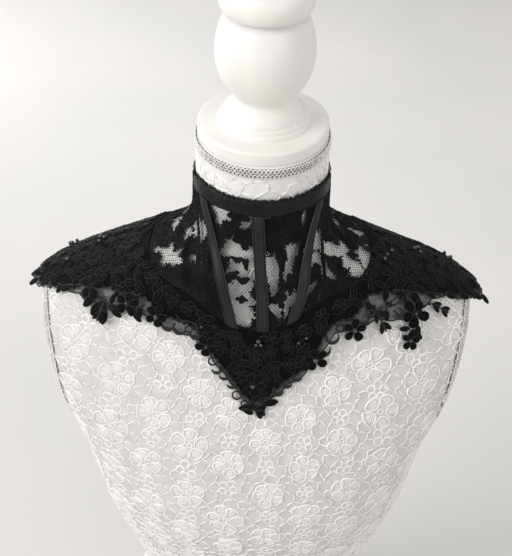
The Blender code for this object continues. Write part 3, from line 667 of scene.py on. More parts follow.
def mottled(mat, spot, scale, detail, low, high, at=(0.35, 0.65)):
    """Two shades that drift into each other as a noise of the given scale does."""
    noise = node(mat, "ShaderNodeTexNoise", {"Scale": scale, "Detail": detail}, Vector=spot)
    ramp = node(mat, "ShaderNodeValToRGB", Fac=noise.outputs["Fac"])
    for stop, place, shade in zip(ramp.color_ramp.elements, at, (low, high)):
        stop.position, stop.color = place, linear(shade)
    return ramp.outputs["Color"]


def thread_finish(name, low, high, pitch, relief, rough, sheen, spec=0.5, shade_scale=90.0):
    """Cloth of threads: bands of the given pitch in metres across both flat directions,
    a slow change of shade, and a soft sheen from the loose fibres."""
    mat, spot = new_finish(name)
    uv = node(mat, "ShaderNodeUVMap", {"uv_map": "flat"}).outputs["UV"]
    both = node(mat, "ShaderNodeMath", {"operation": "MAXIMUM"})
    for socket, way in zip(both.inputs, "XY"):
        wave = node(mat, "ShaderNodeTexWave", {"Scale": WAVE_LENGTH / pitch, "Distortion": 1.5,
                                               "Detail": 1.0, "bands_direction": way}, Vector=uv)
        mat.node_tree.links.new(wave.outputs["Fac"], socket)
    bump = node(mat, "ShaderNodeBump", {"Strength": relief, "Distance": pitch * 0.5},
                Height=both.outputs[0])
    return end_finish(mat, {"Roughness": rough, "Sheen Weight": sheen, "Sheen Roughness": 0.5,
                            "Specular IOR Level": spec},
                      Base_Color=mottled(mat, spot, shade_scale, 5.0, low, high),
                      Normal=bump.outputs["Normal"])


print("material helpers ready")

# %% [markdown]
# The black threads are polyester and nylon. The net is fine and dull, the embroidery is
# thicker and catches a little light on the rounded cords, and the satin of the bones is
# smooth enough to show a soft grey band; its folded edges are painted lighter as a painted
# highlight. The binding is a fold-over elastic with less shine. The white threads are
# cotton: the cloth under the cover's cords is painted darker than the cords, as painted
# shade from their relief, and it is painted whiter on the neck as painted light. The
# braid's grey core paints the shade in its holes.

# %% Cloth and thread finishes
FOLD_ELASTIC = thread_finish("fold_over_elastic", "#0a0a0b", "#161617", 0.0005, 0.4, 0.42, 0.02,
                             0.2, 70.0)
NYLON_NET = thread_finish("nylon_net", "#060607", "#111112", 0.0006, 0.35, 0.7, 0.02, 0.12)
RAYON_CORD = thread_finish("rayon_cord", "#0a0a0b", "#1b1b1d", 0.0007, 0.5, 0.3, 0.03, 0.34,
                           160.0)
LACE_GROUND = thread_finish("embroidered_ground", "#040405", "#0b0b0c", 0.0008, 0.8, 0.75,
                            0.02, 0.08, 220.0)
# Lighter satin for the bones' folded edges: a painted highlight.
SATIN_EDGE_PAINTED_HIGHLIGHT = thread_finish("satin_edge_painted_highlight", "#29292b", "#3d3d40", 0.0004, 0.2, 0.45, 0.1,
                           0.4, 200.0)
SATIN = thread_finish("polyester_satin", "#161617", "#222223", 0.0004, 0.12, 0.5, 0.06, 0.24,
                      60.0)
COTTON_CORD = thread_finish("cotton_cord", "#f3f1ee", "#fdfcfa", 0.0007, 0.4, 0.8, 0.3, 0.3)
# The cloth under the cover's cords is darker than the cords: painted shade from their relief.
COTTON_GROUND_PAINTED_SHADE = thread_finish("cotton_ground_painted_shade", "#d1cfcc", "#dedcd9", 0.0011, 0.6, 0.85, 0.25,
                              0.25, 120.0)
# Whiter cloth for the neck: painted light.
COTTON_NECK_PAINTED_LIGHT = thread_finish("cotton_neck_painted_light", "#f0efed", "#f8f7f6", 0.0011, 0.6, 0.85, 0.25,
                            0.25, 120.0)
BRAID_THREAD = thread_finish("braid_thread", "#e6e4e0", "#f6f4f1", 0.0005, 0.5, 0.7, 0.3, 0.35)
# A grey core under the braid's loops: painted shade in its holes.
BRAID_CORE_PAINTED_SHADE = thread_finish("braid_core_painted_shade", "#8b8781", "#a19d97", 0.0008, 0.7, 0.85, 0.1, 0.2)


def sheer_finish():
    """Black tulle too fine to build: a see-through skin with the mesh as its relief."""
    mat = thread_finish("sheer_tulle", "#161618", "#242426", 0.0012, 0.5, 0.8, 0.2, 0.2)
    shader = next(n for n in mat.node_tree.nodes if n.type == "BSDF_PRINCIPLED")
    shader.inputs["Alpha"].default_value = 0.27
    return mat


SHEER_TULLE = sheer_finish()


def bead_finish():
    """Glass pearls: near black, a clear coat, and cloudy shade from bead to bead."""
    mat, spot = new_finish("black_glass_pearl")
    return end_finish(mat, {"Roughness": 0.22, "Coat Weight": 0.6, "Coat Roughness": 0.08,
                            "IOR": 1.55},
                      Base_Color=mottled(mat, spot, 300.0, 3.0, "#121214", "#2c2c30"))


def paint_finish():
    """Satin paint on turned wood: faint rings from the lathe, a slight warm drift of
    shade, and a little grime that dulls the shine."""
    mat, spot = new_finish("satin_painted_wood")
    grime = node(mat, "ShaderNodeTexNoise", {"Scale": 60.0, "Detail": 8.0, "Roughness": 0.65},
                 Vector=spot)
    rings = node(mat, "ShaderNodeTexWave", {"Scale": 260.0, "Distortion": 0.6,
                                            "bands_direction": "Z"}, Vector=spot)
    mix = node(mat, "ShaderNodeMath", {"operation": "MULTIPLY_ADD"})
    mat.node_tree.links.new(grime.outputs["Fac"], mix.inputs[0])
    mix.inputs[1].default_value = 3.0
    mat.node_tree.links.new(rings.outputs["Fac"], mix.inputs[2])
    bump = node(mat, "ShaderNodeBump", {"Strength": 0.10, "Distance": 0.0004},
                Height=mix.outputs[0])
    rough = node(mat, "ShaderNodeMapRange", {"To Min": 0.30, "To Max": 0.52},
                 Value=grime.outputs["Fac"])
    return end_finish(mat, {"IOR": 1.5, "Coat Weight": 0.15, "Coat Roughness": 0.25},
                      Base_Color=mottled(mat, spot, 14.0, 4.0, "#e6e4e0", "#f0eeeb"),
                      Roughness=rough.outputs["Result"], Normal=bump.outputs["Normal"])


def wire_finish():
    """Lacquered steel wire: dark metal, brighter where the lacquer has rubbed off."""
    mat, spot = new_finish("lacquered_wire")
    return end_finish(mat, {"Metallic": 0.8, "Roughness": 0.34},
                      Base_Color=mottled(mat, spot, 400.0, 4.0, "#1c1c1e", "#5a5a5e",
                                         (0.55, 0.75)))


GLASS_PEARL, PAINTED_WOOD, HOOK_WIRE = bead_finish(), paint_finish(), wire_finish()
print("finishes", [m.name for m in bpy.data.materials])

# %% [markdown]
# ## The form
#
# The form is foam with a lace cover pulled tight over it. Its body is one fine grid of
# ovals from the neck to the flat base. Displacing that grid for the lace would need
# millions of points, so the lace is laid on as cords instead.

# %% Body of the form
def form_body():
    """The body: a closed grid of ovals, with a second finish on the neck that is painted light."""
    t = np.linspace(0, len(SECTIONS) - 1, 150)
    ang = np.linspace(-180, 180, 128, endpoint=False)
    p = section_point(ang[:, None], np.minimum(t, len(SECTIONS) - 1.0001)[None, :])
    p[:, -1, 2] = 0.0
    nu, nv = p.shape[:2]
    idx = np.arange(nu * nv).reshape(nu, nv)
    nxt = np.roll(idx, -1, 0)
    quads = np.stack([idx[:, :-1], idx[:, 1:], nxt[:, 1:], nxt[:, :-1]], -1)
    hubs = [p[:, 0].mean(0), p[:, -1].mean(0)]
    top, base = nu * nv, nu * nv + 1
    tris = np.concatenate([np.stack([idx[:, 0], nxt[:, 0], np.full(nu, top)], -1),
                           np.stack([nxt[:, -1], idx[:, -1], np.full(nu, base)], -1)])
    run = lengths(p)
    flat = np.stack([ang[:, None] * 2.6 + 0 * run, run], -1).reshape(-1, 2) * MM
    # The cover is painted whiter on the neck as painted light; the black lace hides the change.
    neck = run[:, :-1] < (eased(ang, "begin") + 37.0)[:, None]
    body = chunk(np.concatenate([p.reshape(-1, 3), hubs]), quads, tris,
                 np.concatenate([flat, [[0, 0], [0, 0.7]]]), neck.astype(int).ravel())
    belongs(make_piece("cover_ground", [body], [COTTON_GROUND_PAINTED_SHADE, COTTON_NECK_PAINTED_LIGHT]),
            "form_body")


form_body()

# %% [markdown]
# ## The cover's lace
#
# The cover is a heavy cotton lace: open flowers about 35 mm wide, set in columns with a
# half drop, each petal filled with short bars, small flowers between them, and a mesh of
# short bridges that ties all together. Four flowers are drawn flat, once, as short paths.
# The same paths are then laid on the form at every place of the repeat. Where the columns
# crowd together towards the neck, every second or third one is left out.

# %% Flat drawings of the lace
def loop_of(points, wide, start, end, squeeze=1.0):
    """A closed petal: across = wide*sin, along from start to end as (1-cos)/2."""
    th = np.linspace(0, 2 * math.pi, points, endpoint=False)
    y = start + (end - start) * 0.5 * (1 - np.cos(th))
    return np.stack([-wide * np.sin(th) * (1 - 0.25 * squeeze * np.cos(th)), y], -1)


def ring_of(points, radius):
    """A circle that runs the way the plates do."""
    th = np.linspace(0, 2 * math.pi, points, endpoint=False)
    return np.stack([radius * np.sin(th), radius * np.cos(th)], -1)


def turned(path, degrees):
    """A flat path turned about its origin, as spread() turns it."""
    t = math.radians(degrees)
    x, y = path[..., 0], path[..., 1]
    return np.stack([y * math.sin(t) + x * math.cos(t), y * math.cos(t) - x * math.sin(t)], -1)


def round_about(path, count, start=0.0):
    """The same path at count even turns."""
    return np.stack([turned(path, start + 360.0 * k / count) for k in range(count)])


def petal_bars(wide, start, end, count):
    """Short bars across a petal, each as wide as the petal is there."""
    f = (np.arange(count) + 0.7) / (count + 0.4)
    y = start + (end - start) * f
    half = wide * np.sin(np.arccos(np.clip(1 - 2 * f, -1, 1))) * (0.95 + 0.2 * (f - 0.5))
    tilt = 0.12 * (end - start) / count
    return np.stack([np.stack([-half, y - tilt], -1), np.stack([half, y + tilt], -1)], 1)


BIG, SMALL = 17.5, 9.6   # radius of the cover's flowers, in mm
COLUMN_COUNT, DROP = 24, 50.0
COLUMN_WIDE, COLUMN_LEAST, COLUMN_FULL = 27.0, 24.0, 38.0    # mm that a column may take up
BRIDGE_ROW = 9.6         # mm from one row of knots to the next
COVER_TOP = 13.0         # no cord of the cover lies higher than this


def drawn_flower(petals, wide, long, seed):
    """The outline loops of one flower, no two alike, and the bars and ribs inside them."""
    rng = np.random.default_rng(seed)
    loops, bars = [], []
    for k in range(petals):
        w, y, t = wide * rng.uniform(0.8, 1.1), long * rng.uniform(0.84, 1.05), 360 * k / petals
        t += rng.uniform(-8, 8)
        rib = np.array([[[s * 0.26 * w, 6.0], [s * 0.36 * w, y - 1.6]] for s in (-1, 1)])
        loops.append(turned(loop_of(11, w, 4.2, y, rng.uniform(0.9, 2.3)), t))
        bars += [turned(b, t) for b in (*petal_bars(w * 0.92, 5.2, y - 1.0, 5), *rib)]
    return np.stack(loops), np.stack(bars)


FLOWER_KINDS = [drawn_flower(*row) for row in ((6, 6.1, BIG, 1), (5, 7.3, 17.0, 2),
                                               (5, 6.7, 15.5, 3), (6, 6.0, 16.0, 4))]
SMALL_KIND = round_about(loop_of(8, 3.6, 2.2, SMALL, 1.4), 5)
print("flower paths", [k[0].shape[:2] + k[1].shape[:1] for k in FLOWER_KINDS])


# %% Places of the repeat
def even_columns(count):
    """Angles that cut the bust's oval into equal lengths, and the degrees between them."""
    fine = np.linspace(-180, 180, 2881)
    run = lengths(section_point(fine, np.full(fine.shape, float(BUST_ROW))))
    cols = np.interp((np.arange(count) + 0.35) / count * run[-1], run, fine)
    return cols, np.diff(np.concatenate([cols, cols[:1] + 360]))


def repeat_places():
    """(angle, down, turn, size, kind, radius) for each flower of the cover, in half drops.

    Places that the closed part of the black lace hides are left out."""
    rng = np.random.default_rng(11)
    rows = []
    for k, (a, w) in enumerate(zip(*even_columns(COLUMN_COUNT))):
        total = float(form_length(a))
        for up in np.arange(16.0 + (DROP / 2 if k % 2 else 0), total - 4, DROP):
            d = total - up
            here = on_form(np.array([a - 0.5, a + 0.5]), np.array([d, d]))
            wide = float(np.linalg.norm(here[1] - here[0])) * w
            for skip in (1, 2, 3):
                if wide * skip >= COLUMN_WIDE:
                    break
            if wide * skip < COLUMN_LEAST or k % skip:
                continue
            lay_down = d - FORM_DOWN
            if float(eased(a, "begin")) + 14 < lay_down < float(eased(a, "edge")) - 30:
                continue
            rows.append((a + rng.normal(0, 0.5), d + rng.normal(0, 2.2), rng.uniform(0, 72),
                         float(np.clip(wide * skip / COLUMN_FULL, 0.66, 1.06))
                         * rng.uniform(0.9, 1.08), rng.integers(0, 4), BIG))
    return np.array(rows)


PLACES = repeat_places()
print("flowers on the cover", len(PLACES))


# %% Cords of the cover
def bridge_ends(count, first, last, flowers, seed):
    """The mesh of bridges: a honeycomb of uneven cells, left out where a flower lies.

    Knots stand in rows; each is tied to the next one and every second one upwards."""
    cols, step = even_columns(count)
    rng = np.random.default_rng(seed)
    total = form_length(cols)
    j = np.arange(int((total.max() - first) / BRIDGE_ROW) + 1)[None, :]
    i = np.arange(count)[:, None]
    odd = (i + j) % 2
    down = (total[:, None] - 3.0 - j * BRIDGE_ROW - odd * BRIDGE_ROW * 0.42
            + rng.normal(0, 1.5, odd.shape))
    ang = cols[:, None] + step[:, None] * rng.normal(0, 0.17, odd.shape)
    right = np.roll(ang, -1, 0)
    right[-1] += 360
    pairs = [(ang, down, right, np.roll(down, -1, 0), np.ones_like(odd, bool)),
             (ang[:, :-1], down[:, :-1], ang[:, 1:], down[:, 1:], odd[:, :-1] == 1)]
    a = np.concatenate([np.stack([p[0][p[4]], p[2][p[4]]], -1) for p in pairs])
    d = np.concatenate([np.stack([p[1][p[4]], p[3][p[4]]], -1) for p in pairs])
    keep = np.all((d > first) & (d < last), axis=1)
    a, d = a[keep], d[keep]
    mid = on_form(a.mean(1), d.mean(1))
    hearts = on_form(flowers[:, 0], flowers[:, 1])
    for k in range(0, len(hearts), 64):
        far = np.linalg.norm(mid[:, None] - hearts[None, k:k + 64], axis=-1)
        clear = np.all(far > flowers[k:k + 64, 3] * flowers[k:k + 64, 5] * 0.93, axis=1)
        mid, a, d = mid[clear], a[clear], d[clear]
    lay_down = d.mean(1) - FORM_DOWN
    hid = ((lay_down > eased(a.mean(1), "begin") + 8)
           & (lay_down < eased(a.mean(1), "edge") - 22))
    return a[~hid], d[~hid]


def lay_paths(places, paths, base, half, high, closed):
    """All paths at all places of the form, as one chunk of cords."""
    parts = [spread(on_form, *places.T[:4], path) for path in paths]
    a, d = (np.concatenate([p[k] for p in parts]) for k in (0, 1))
    limit = form_length((a + 180) % 360 - 180)
    keep = np.all((d > COVER_TOP) & (d < limit - 2.0), axis=1)
    return cord_on(on_form, a[keep], d[keep], base, half, high, 3, closed)


def gaps_between(places):
    """The places of the small flowers, half a drop below the large ones."""
    gap = places.copy()
    gap[:, 1] += DROP / 2
    gap[:, 2] += 20
    gap[:, 5] = SMALL
    return gap


both = np.concatenate([PLACES, gaps_between(PLACES)])
BRIDGES = [bridge_ends(40, 12.0, 78.0, both, 3), bridge_ends(64, 78.0, 128.0, both, 4),
           bridge_ends(124, 128.0, 900.0, both, 5)]
print("bridges", [len(b[0]) for b in BRIDGES])


def cover_lace(name, low, high):
    """The part of the cover's lace whose places lie between two angles."""
    places = PLACES[(PLACES[:, 0] >= low) & (PLACES[:, 0] < high)]
    ties = []
    for a, d in BRIDGES:
        mine = (a[:, 0] >= low) & (a[:, 0] < high)
        bow = np.random.default_rng(9).normal(0, 0.9, (int(mine.sum()), 1))
        aa, dd = ((v[mine][:, [0, 1, 1]] + v[mine][:, [0, 0, 1]]) / 2 for v in (a, d))
        dd[:, 1:2] += bow
        ties.append(cord_on(on_form, aa, dd, -0.1, 0.8, 1.1))
    chunks = ties + [lay_paths(places, [ring_of(9, 2.4)], -0.15, 0.9, 0.9, True),
                     lay_paths(gaps_between(places), SMALL_KIND, -0.15, 0.8, 0.75, True)]
    for kind, (outline, bars) in enumerate(FLOWER_KINDS):
        mine = places[places[:, 4] == kind]
        chunks += [lay_paths(mine, outline, -0.15, 1.0, 1.35, True),
                   lay_paths(mine, bars, -0.15, 0.5, 0.5, False)]
    belongs(make_piece(name, chunks, [COTTON_CORD]))


for word, low, high in (("back_right", -200, -90), ("front_right", -90, 0),
                        ("front_left", 0, 90), ("back_left", 90, 200)):
    cover_lace("cover_lace_" + word, low, high)

# %% [markdown]
# ## The turned finial
#
# A lathe cuts a profile, so a profile carried round an axis is the same shape by the
# same means. The table's corners get a small radius, as sanded and painted wood has, and
# the urn is a smooth curve. The axis leans forward with the neck.

# %% Finial
def neck_frame():
    """Centre of the neck's top face, and its up and front directions."""
    t = math.radians(NECK_TILT)
    centre = np.array([0.0, SEC["along"][0], NECK_LEVEL + SEC["height"][0]])
    return centre, np.array([0.0, -math.sin(t), math.cos(t)]), np.array([0.0, -math.cos(t),
                                                                         -math.sin(t)])


def smooth_curve(points, count):
    """Catmull-Rom through the points, with count steps between each two."""
    p = np.asarray(points, float)
    p = np.concatenate([2 * p[:1] - p[1:2], p, 2 * p[-1:] - p[-2:-1]])
    f = np.linspace(0, 1, count, endpoint=False)[:, None]
    out = [catmull_rom(*four, f) for four in zip(p[:-3], p[1:-2], p[2:-1], p[3:])]
    return np.concatenate(out + [p[-2:-1]])


def rounded(points, radius, steps=4):
    """Each inner corner of a line of points cut by a short curve of about radius."""
    p = np.asarray(points, float)
    out = [p[:1]]
    f = np.linspace(0, 1, steps + 1)[:, None]
    for a, b, c in zip(p[:-2], p[1:-1], p[2:]):
        ra = min(radius, 0.45 * np.linalg.norm(a - b)) / np.linalg.norm(a - b)
        rc = min(radius, 0.45 * np.linalg.norm(c - b)) / np.linalg.norm(c - b)
        s, e = b + (a - b) * ra, b + (c - b) * rc
        out.append((1 - f) ** 2 * s + 2 * f * (1 - f) * b + f ** 2 * e)
    return np.concatenate(out + [p[-1:]])


def finial():
    """The table's profile carried round the neck's leaning axis, in 96 steps."""
    centre, up, front = neck_frame()
    side = np.array([1.0, 0.0, 0.0])
    lift = 0.03
    foot = [(0.0, lift), (FLANGE_R - 0.6, lift), (FLANGE_R, lift + 0.6),
            (FLANGE_R, FLANGE_T - 1.2), (FLANGE_R - 1.6, FLANGE_T), (36.0, FLANGE_T)]
    turned_part = [(r, FLANGE_T + h) for r, h in FINIAL + [(4.0, FINIAL_TIP - 0.3),
                                                           (0.0, FINIAL_TIP)]]
    steps, urn, cap = turned_part[:6], turned_part[6:17], turned_part[17:]
    prof = np.concatenate([rounded(foot + steps, 0.8, 3), smooth_curve(urn, 5),
                           smooth_curve(cap, 4)])
    n, m = len(prof), 96
    ang = np.linspace(0, 2 * math.pi, m, endpoint=False)
    wheel = np.sin(ang)[:, None] * side + np.cos(ang)[:, None] * front
    p = centre + prof[:, 1][:, None, None] * up + prof[:, 0][:, None, None] * wheel
    idx = np.arange(n * m).reshape(n, m)
    k = np.roll(idx, -1, 1)
    quads = np.stack([idx[:-1], k[:-1], k[1:], idx[1:]], -1)[1:-1]
    tris = np.concatenate([np.stack([idx[0] * 0 + idx[0, 0], k[1], idx[1]], -1),
                           np.stack([idx[-2], k[-2], idx[-1] * 0 + idx[-1, 0]], -1)])
    flat = np.stack([prof[:, 0][:, None] * ang[None] + 0 * idx,
                     prof[:, 1][:, None] + 0 * idx], -1) * MM
    belongs(make_piece("turned_finial", [chunk(p, quads, tris, flat)], [PAINTED_WOOD]),
            "finial")


finial()

# %% [markdown]
# ## Gimp braid
#
# The braid round the neck and the arm plates is two thin cords that cross over and under
# in a figure of eight, with a hole in each loop; a grey core under the cords paints the
# shade in the holes, so each hole shows dark. Two sine waves half a turn apart give the
# crossing, and a second wave lifts the cord that passes on top.

# %% Braids
def braid(name, node_name, points, normals, rows, wide, base, cord=(0.6, 0.95), loop=3.1):
    """Rows of crossing cords on a narrow flat grey core that paints the shade in the holes,
    round a closed line of points: across = row place + wide*sin(t), out = base + 0.3*cos(2t)."""
    length = np.linalg.norm(np.roll(points, -1, 0) - points, axis=-1).sum()
    turns = int(round(length / loop))
    n = turns * 8
    fine = np.arange(n) / n * len(points)
    i = np.floor(fine).astype(int) % len(points)
    f = (fine % 1)[:, None]
    p = points[i] * (1 - f) + np.roll(points, -1, 0)[i] * f
    up = normals[i] * (1 - f) + np.roll(normals, -1, 0)[i] * f
    up /= np.linalg.norm(up, axis=-1, keepdims=True)
    run = np.roll(p, -1, 0) - np.roll(p, 1, 0)
    run /= np.linalg.norm(run, axis=-1, keepdims=True)
    side = np.cross(run, up)
    th = np.arange(n) / n * turns * math.pi + 0.2
    paths = []
    for row in rows:
        for phase in (0.0, math.pi):
            across = row + wide * np.sin(th + phase)
            out = base + 0.3 * np.cos(th * 2 + phase)
            paths.append(p + side * across[:, None] + up * out[:, None])
    ups = np.stack([up] * len(paths))
    thin = slice(None, None, 8)
    # The grey core under the loops paints the shade that shows in each hole.
    core = [cord_along((p + up * (base - 0.75) + side * row)[None, thin], up[None, thin],
                       wide - 0.1, 0.35, 4, True, 1) for row in rows]
    belongs(make_piece(name, [cord_along(np.stack(paths), ups, *cord, 3, True)] + core,
                       [BRAID_THREAD, BRAID_CORE_PAINTED_SHADE]), node_name)


def neck_line():
    """Points round the neck just under its top, with their outward directions."""
    ang = np.linspace(-180, 180, 720, endpoint=False)
    p = section_point(ang, np.full(ang.shape, 0.5))
    q = section_point(ang, np.full(ang.shape, 0.5), lay=True)
    return p, (q - p) / np.linalg.norm(q - p, axis=-1, keepdims=True)


RIM_IN = 4.8                     # how far inside the plate's plane the braid's middle lies


def plate_rim(side, count=240):
    """Points just inside the rim of an arm plate, with their outward directions."""
    t = np.linspace(0, len(SECTIONS) - 1.001, 2801)
    h = between_sections("height", t)
    half = between_sections("half", t)
    inside = np.where(half > plate_limit(h) - RIM_IN)[0]
    t_top, t_low = t[inside[0]], t[inside[-1]]
    h_top, h_low = h[inside[0]], h[inside[-1]]
    psi = np.linspace(0, 2 * math.pi, count, endpoint=False)
    hs = (h_top + h_low) / 2 + (h_top - h_low) / 2 * np.cos(psi)
    ts = np.clip(np.interp(-hs, -h, t), t_top + 1e-4, t_low - 1e-4)
    a = between_sections("half", ts)
    n = between_sections("square", ts)
    x = plate_limit(hs) - RIM_IN
    rest = np.clip(1 - (x / a) ** n, 0, 1) ** (1 / n)
    b = np.where(np.sin(psi) > 0, between_sections("front", ts), between_sections("back", ts))
    y = -np.sign(np.sin(psi)) * rest * b
    ang = np.degrees(np.arctan2(side * x, -y))
    p = section_point(ang, ts)
    du = section_point(ang + 0.4, ts) - section_point(ang - 0.4, ts)
    dv = section_point(ang, ts + 0.03) - section_point(ang, ts - 0.03)
    nn = np.cross(dv, du)
    nn /= np.linalg.norm(nn, axis=-1, keepdims=True)
    return p, nn


braid("neck_gimp", "neck_braid", *neck_line(), rows=(-2.2, 2.2), wide=1.6, base=0.9)
for word, side in (("right", -1), ("left", 1)):
    braid("arm_gimp_" + word, "arm_braid_" + word, *plate_rim(side), rows=(-2.0, 2.0),
          wide=1.55, base=0.8, cord=(0.55, 0.85))

# %% [markdown]
# ## Net gores
#
# Eight gores of floral net make the collar and yoke. The real net is a mesh of fine
# threads, with large flowers and leaves woven dense in it, and the white form shows
# through where it is bare. A see-through material could fake that, but threads give
# the true sparkle from every side. So a lattice is laid over each gore, one strand for
# each side of a diamond, and each diamond that lies in a flower is filled with a plate.

# %% Where the net is bare and where it is woven dense
# Each row is a blob: angle, distance down, half width, half length, turn, lobes.
BARE = [
    (-33, 18, 9, 8, 0, 3), (-12, 20, 7, 3, 60, 0), (-19, 43, 9, 8, 30, 4), (-11, 50, 9, 7, 35, 3),
    (-6, 58, 5, 8, 15, 0), (-16, 58, 7, 5, 40, 4), (-10, 70, 6, 9, 0, 4), (-14, 76, 7, 6, 20, 5),
    (-11, 92, 9, 10, 0, 5), (-7, 100, 5, 9, 10, 3), (-8, 84, 6, 6, 0, 4), (5.5, 11, 3, 3, 0, 0),
    (9, 60, 4.6, 15, 4, 3), (37, 21, 2, 6, -8, 0), (23.5, 47, 4.5, 8, -14, 3),
    (19.5, 60, 3, 8, -10, 0), (19.5, 82, 3.5, 11, -12, 4), (12, 92, 3.4, 6, 20, 3),
    (-68, 56, 5, 6, 20, 4), (-60, 43, 7, 7, 10, 4), (-51, 44, 4, 9, 0, 3), (-49, 66, 3, 2.6, 0, 0),
    (50, 48, 7, 10, 20, 4), (44, 66, 4, 11, 15, 3), (36, 57, 4, 9, -6, 0), (58, 62, 5, 9, 24, 4),
    (33, 79, 7, 1.6, 40, 0), (-90, 70, 3, 9, 80, 4), (-64, 79, 9, 8, 10, 5), (-57, 78, 4, 4, 0, 3),
    (-73, 88, 3, 3, 0, 0), (90, 60, 7, 2.4, 30, 4), (91, 82, 4, 10, 20, 3), (85, 98, 4, 9, 30, 4),
    (65, 77, 12, 7, 60, 5), (72, 92, 10, 7, 60, 5), (62, 90, 6, 7, 20, 3), (-100, 66, 8, 7, 20, 5),
    (-112, 40, 6, 9, 0, 4), (-118, 74, 8, 6, 40, 5), (-140, 36, 8, 10, 10, 5),
    (-150, 62, 9, 8, 0, 4), (-166, 30, 7, 9, 20, 5), (-168, 68, 7, 8, 10, 4),
    (-100, 30, 6, 7, 0, 4), (102, 40, 7, 8, 10, 5), (112, 66, 8, 8, 30, 5), (120, 34, 6, 9, 0, 4),
    (138, 58, 9, 8, 10, 5), (150, 34, 8, 9, 20, 4), (160, 66, 8, 8, 0, 5), (168, 40, 6, 8, 10, 4),
    (-132, 60, 6, 8, 0, 4),
]
DENSE = [
    (-27, 29, 5, 8, 10, 0), (-11, 33, 9, 8, 0, 5), (-18, 14, 8, 8, 0, 5), (-16, 51, 5, 2.6, 0, 3),
    (-9.5, 53, 2.6, 5, 10, 3), (-17, 63, 4.4, 2.6, 20, 3), (-10.5, 67, 5, 3, 10, 3),
    (-10.5, 83, 4, 3, 0, 4), (-15, 101, 3, 5, 0, 3), (15.5, 50, 4.4, 9, 0, 3),
    (21, 70, 3.6, 9, -8, 3), (14, 81, 4, 8, 0, 4), (39.5, 71, 5.4, 10, 18, 3),
    (-66, 70, 4, 6, 30, 4), (68, 80, 4, 5, 40, 4), (88, 76, 3, 6, 0, 3), (-104, 72, 3, 4, 0, 4),
    (-150, 66, 4, 4, 0, 5), (138, 62, 4, 4, 0, 5), (-140, 40, 3.4, 5, 0, 5), (150, 38, 4, 4, 0, 5),
    (112, 70, 3, 5, 20, 4),
]


def in_blobs(table, angle, down, grow=1.1):
    """True inside any row's blob: an oval whose rim swells by 0.22*cos(lobes*turn)."""
    inside = np.zeros(angle.shape, bool)
    for a, d, wide, long, turn, lobes in table:
        across, along, away = from_place(angle, down, a, d, turn)
        r, th = np.hypot(across / wide, along / long), np.arctan2(across / wide, along / long)
        rim = grow * (1.0 + 0.22 * np.cos(lobes * th) * (lobes > 0))
        inside |= (r < rim) & (np.abs(away) < 40)
    return inside


print("bare places", len(BARE), "dense places in them", len(DENSE))

# %% A gore as a lattice
CELL = 3.0                       # knot to knot in mm; the real mesh is 1.9, too fine to show
STRAND = 0.12                    # half width of a strand
NET_TOP = 1.35                   # the net's outer side, in mm from the lay
NET_START = 1.6                  # where the net begins, under the binding
NET_LONGEST = 116.0              # no gore reaches further down than this
FLOWER_ROW, FLOWER_STEP = 10.5, 12.5         # mm between woven flowers, down and across


def side_drop(angle, down):
    """How far the collar's top dips at the sides: 6 mm there, none at the front and back."""
    dip = (np.clip((np.abs(angle) - 50) / 38, 0, 1) * np.clip((165 - np.abs(angle)) / 45, 0, 1))
    return 6.0 * dip ** 2 * (3 - 2 * dip) * np.clip(1 - down / 30.0, 0, 1)


def seam_line(name):
    """A gore's side as a function of the distance down: one of the seams."""
    return lambda down: seam(name, down)


def back_line(side):
    """A gore's side along the slit at centre back."""
    return lambda down: side * (180.0 - degrees_for(BACK_HALF_GAP, 180.0, down))


# A gore lies between each two lines that follow on each other round the neck.
LINES = [back_line(-1), *(seam_line(name) for name in SEAM_COLUMNS[1:]), back_line(1)]
GORES = [("gore_" + word, left, right) for word, left, right in zip(
    ("back_right", "shoulder_right", "side_right", "front_right", "front_left", "side_left",
     "shoulder_left", "back_left"), LINES, LINES[1:])]


def gore_outline(left, right, nu, nv):
    """Grid of (angle, down) over a gore, from under the binding to the lace."""
    u, v = np.linspace(0, 1, nu)[:, None], np.linspace(0, 1, nv)[None, :]
    down = NET_START + v * 80 + 0 * u
    for _ in range(16):
        a, b = left(down), right(down)
        gap = degrees_for(SEAM_GAP / 2, (a + b) / 2, down)
        ang = (a + gap) * (1 - u) + (b - gap) * u
        down = NET_START + v * (eased(ang, "begin") - SEAM_GAP - NET_START)
    return ang, down + side_drop(ang, down)


def lattice(left, right, split=1):
    """Knots (angle, down) of a net cut on the straight, and which of them lie inside.

    At each row the distance across is measured along the cloth from the gore's middle.
    split puts that many steps in each half cell."""
    down = np.arange(NET_START, NET_LONGEST, CELL / 2 / split)
    rows = []
    for y in down:
        a, b = float(left(y)), float(right(y))
        fine = np.linspace(a, b, 121)
        run = np.concatenate([[0], np.cumsum((across_rate((fine[1:] + fine[:-1]) / 2, y)[0])
                                             * np.diff(fine))])
        rows.append((fine, run - run[-1] / 2))
    half = (int(max(r[1][-1] for r in rows[::split]) / (CELL / 2)) + 2) * split
    x = np.arange(-half, half + 1) * CELL / 2 / split
    ang = np.stack([np.interp(x, r[1], r[0]) for r in rows], 1)
    inside = np.stack([(x > r[1][0] + 0.5) & (x < r[1][-1] - 0.5) for r in rows], 1)
    dn = down[None, :] + 0 * ang
    inside &= dn < eased(ang, "begin") - 0.9
    return ang, dn + side_drop(ang, dn), inside


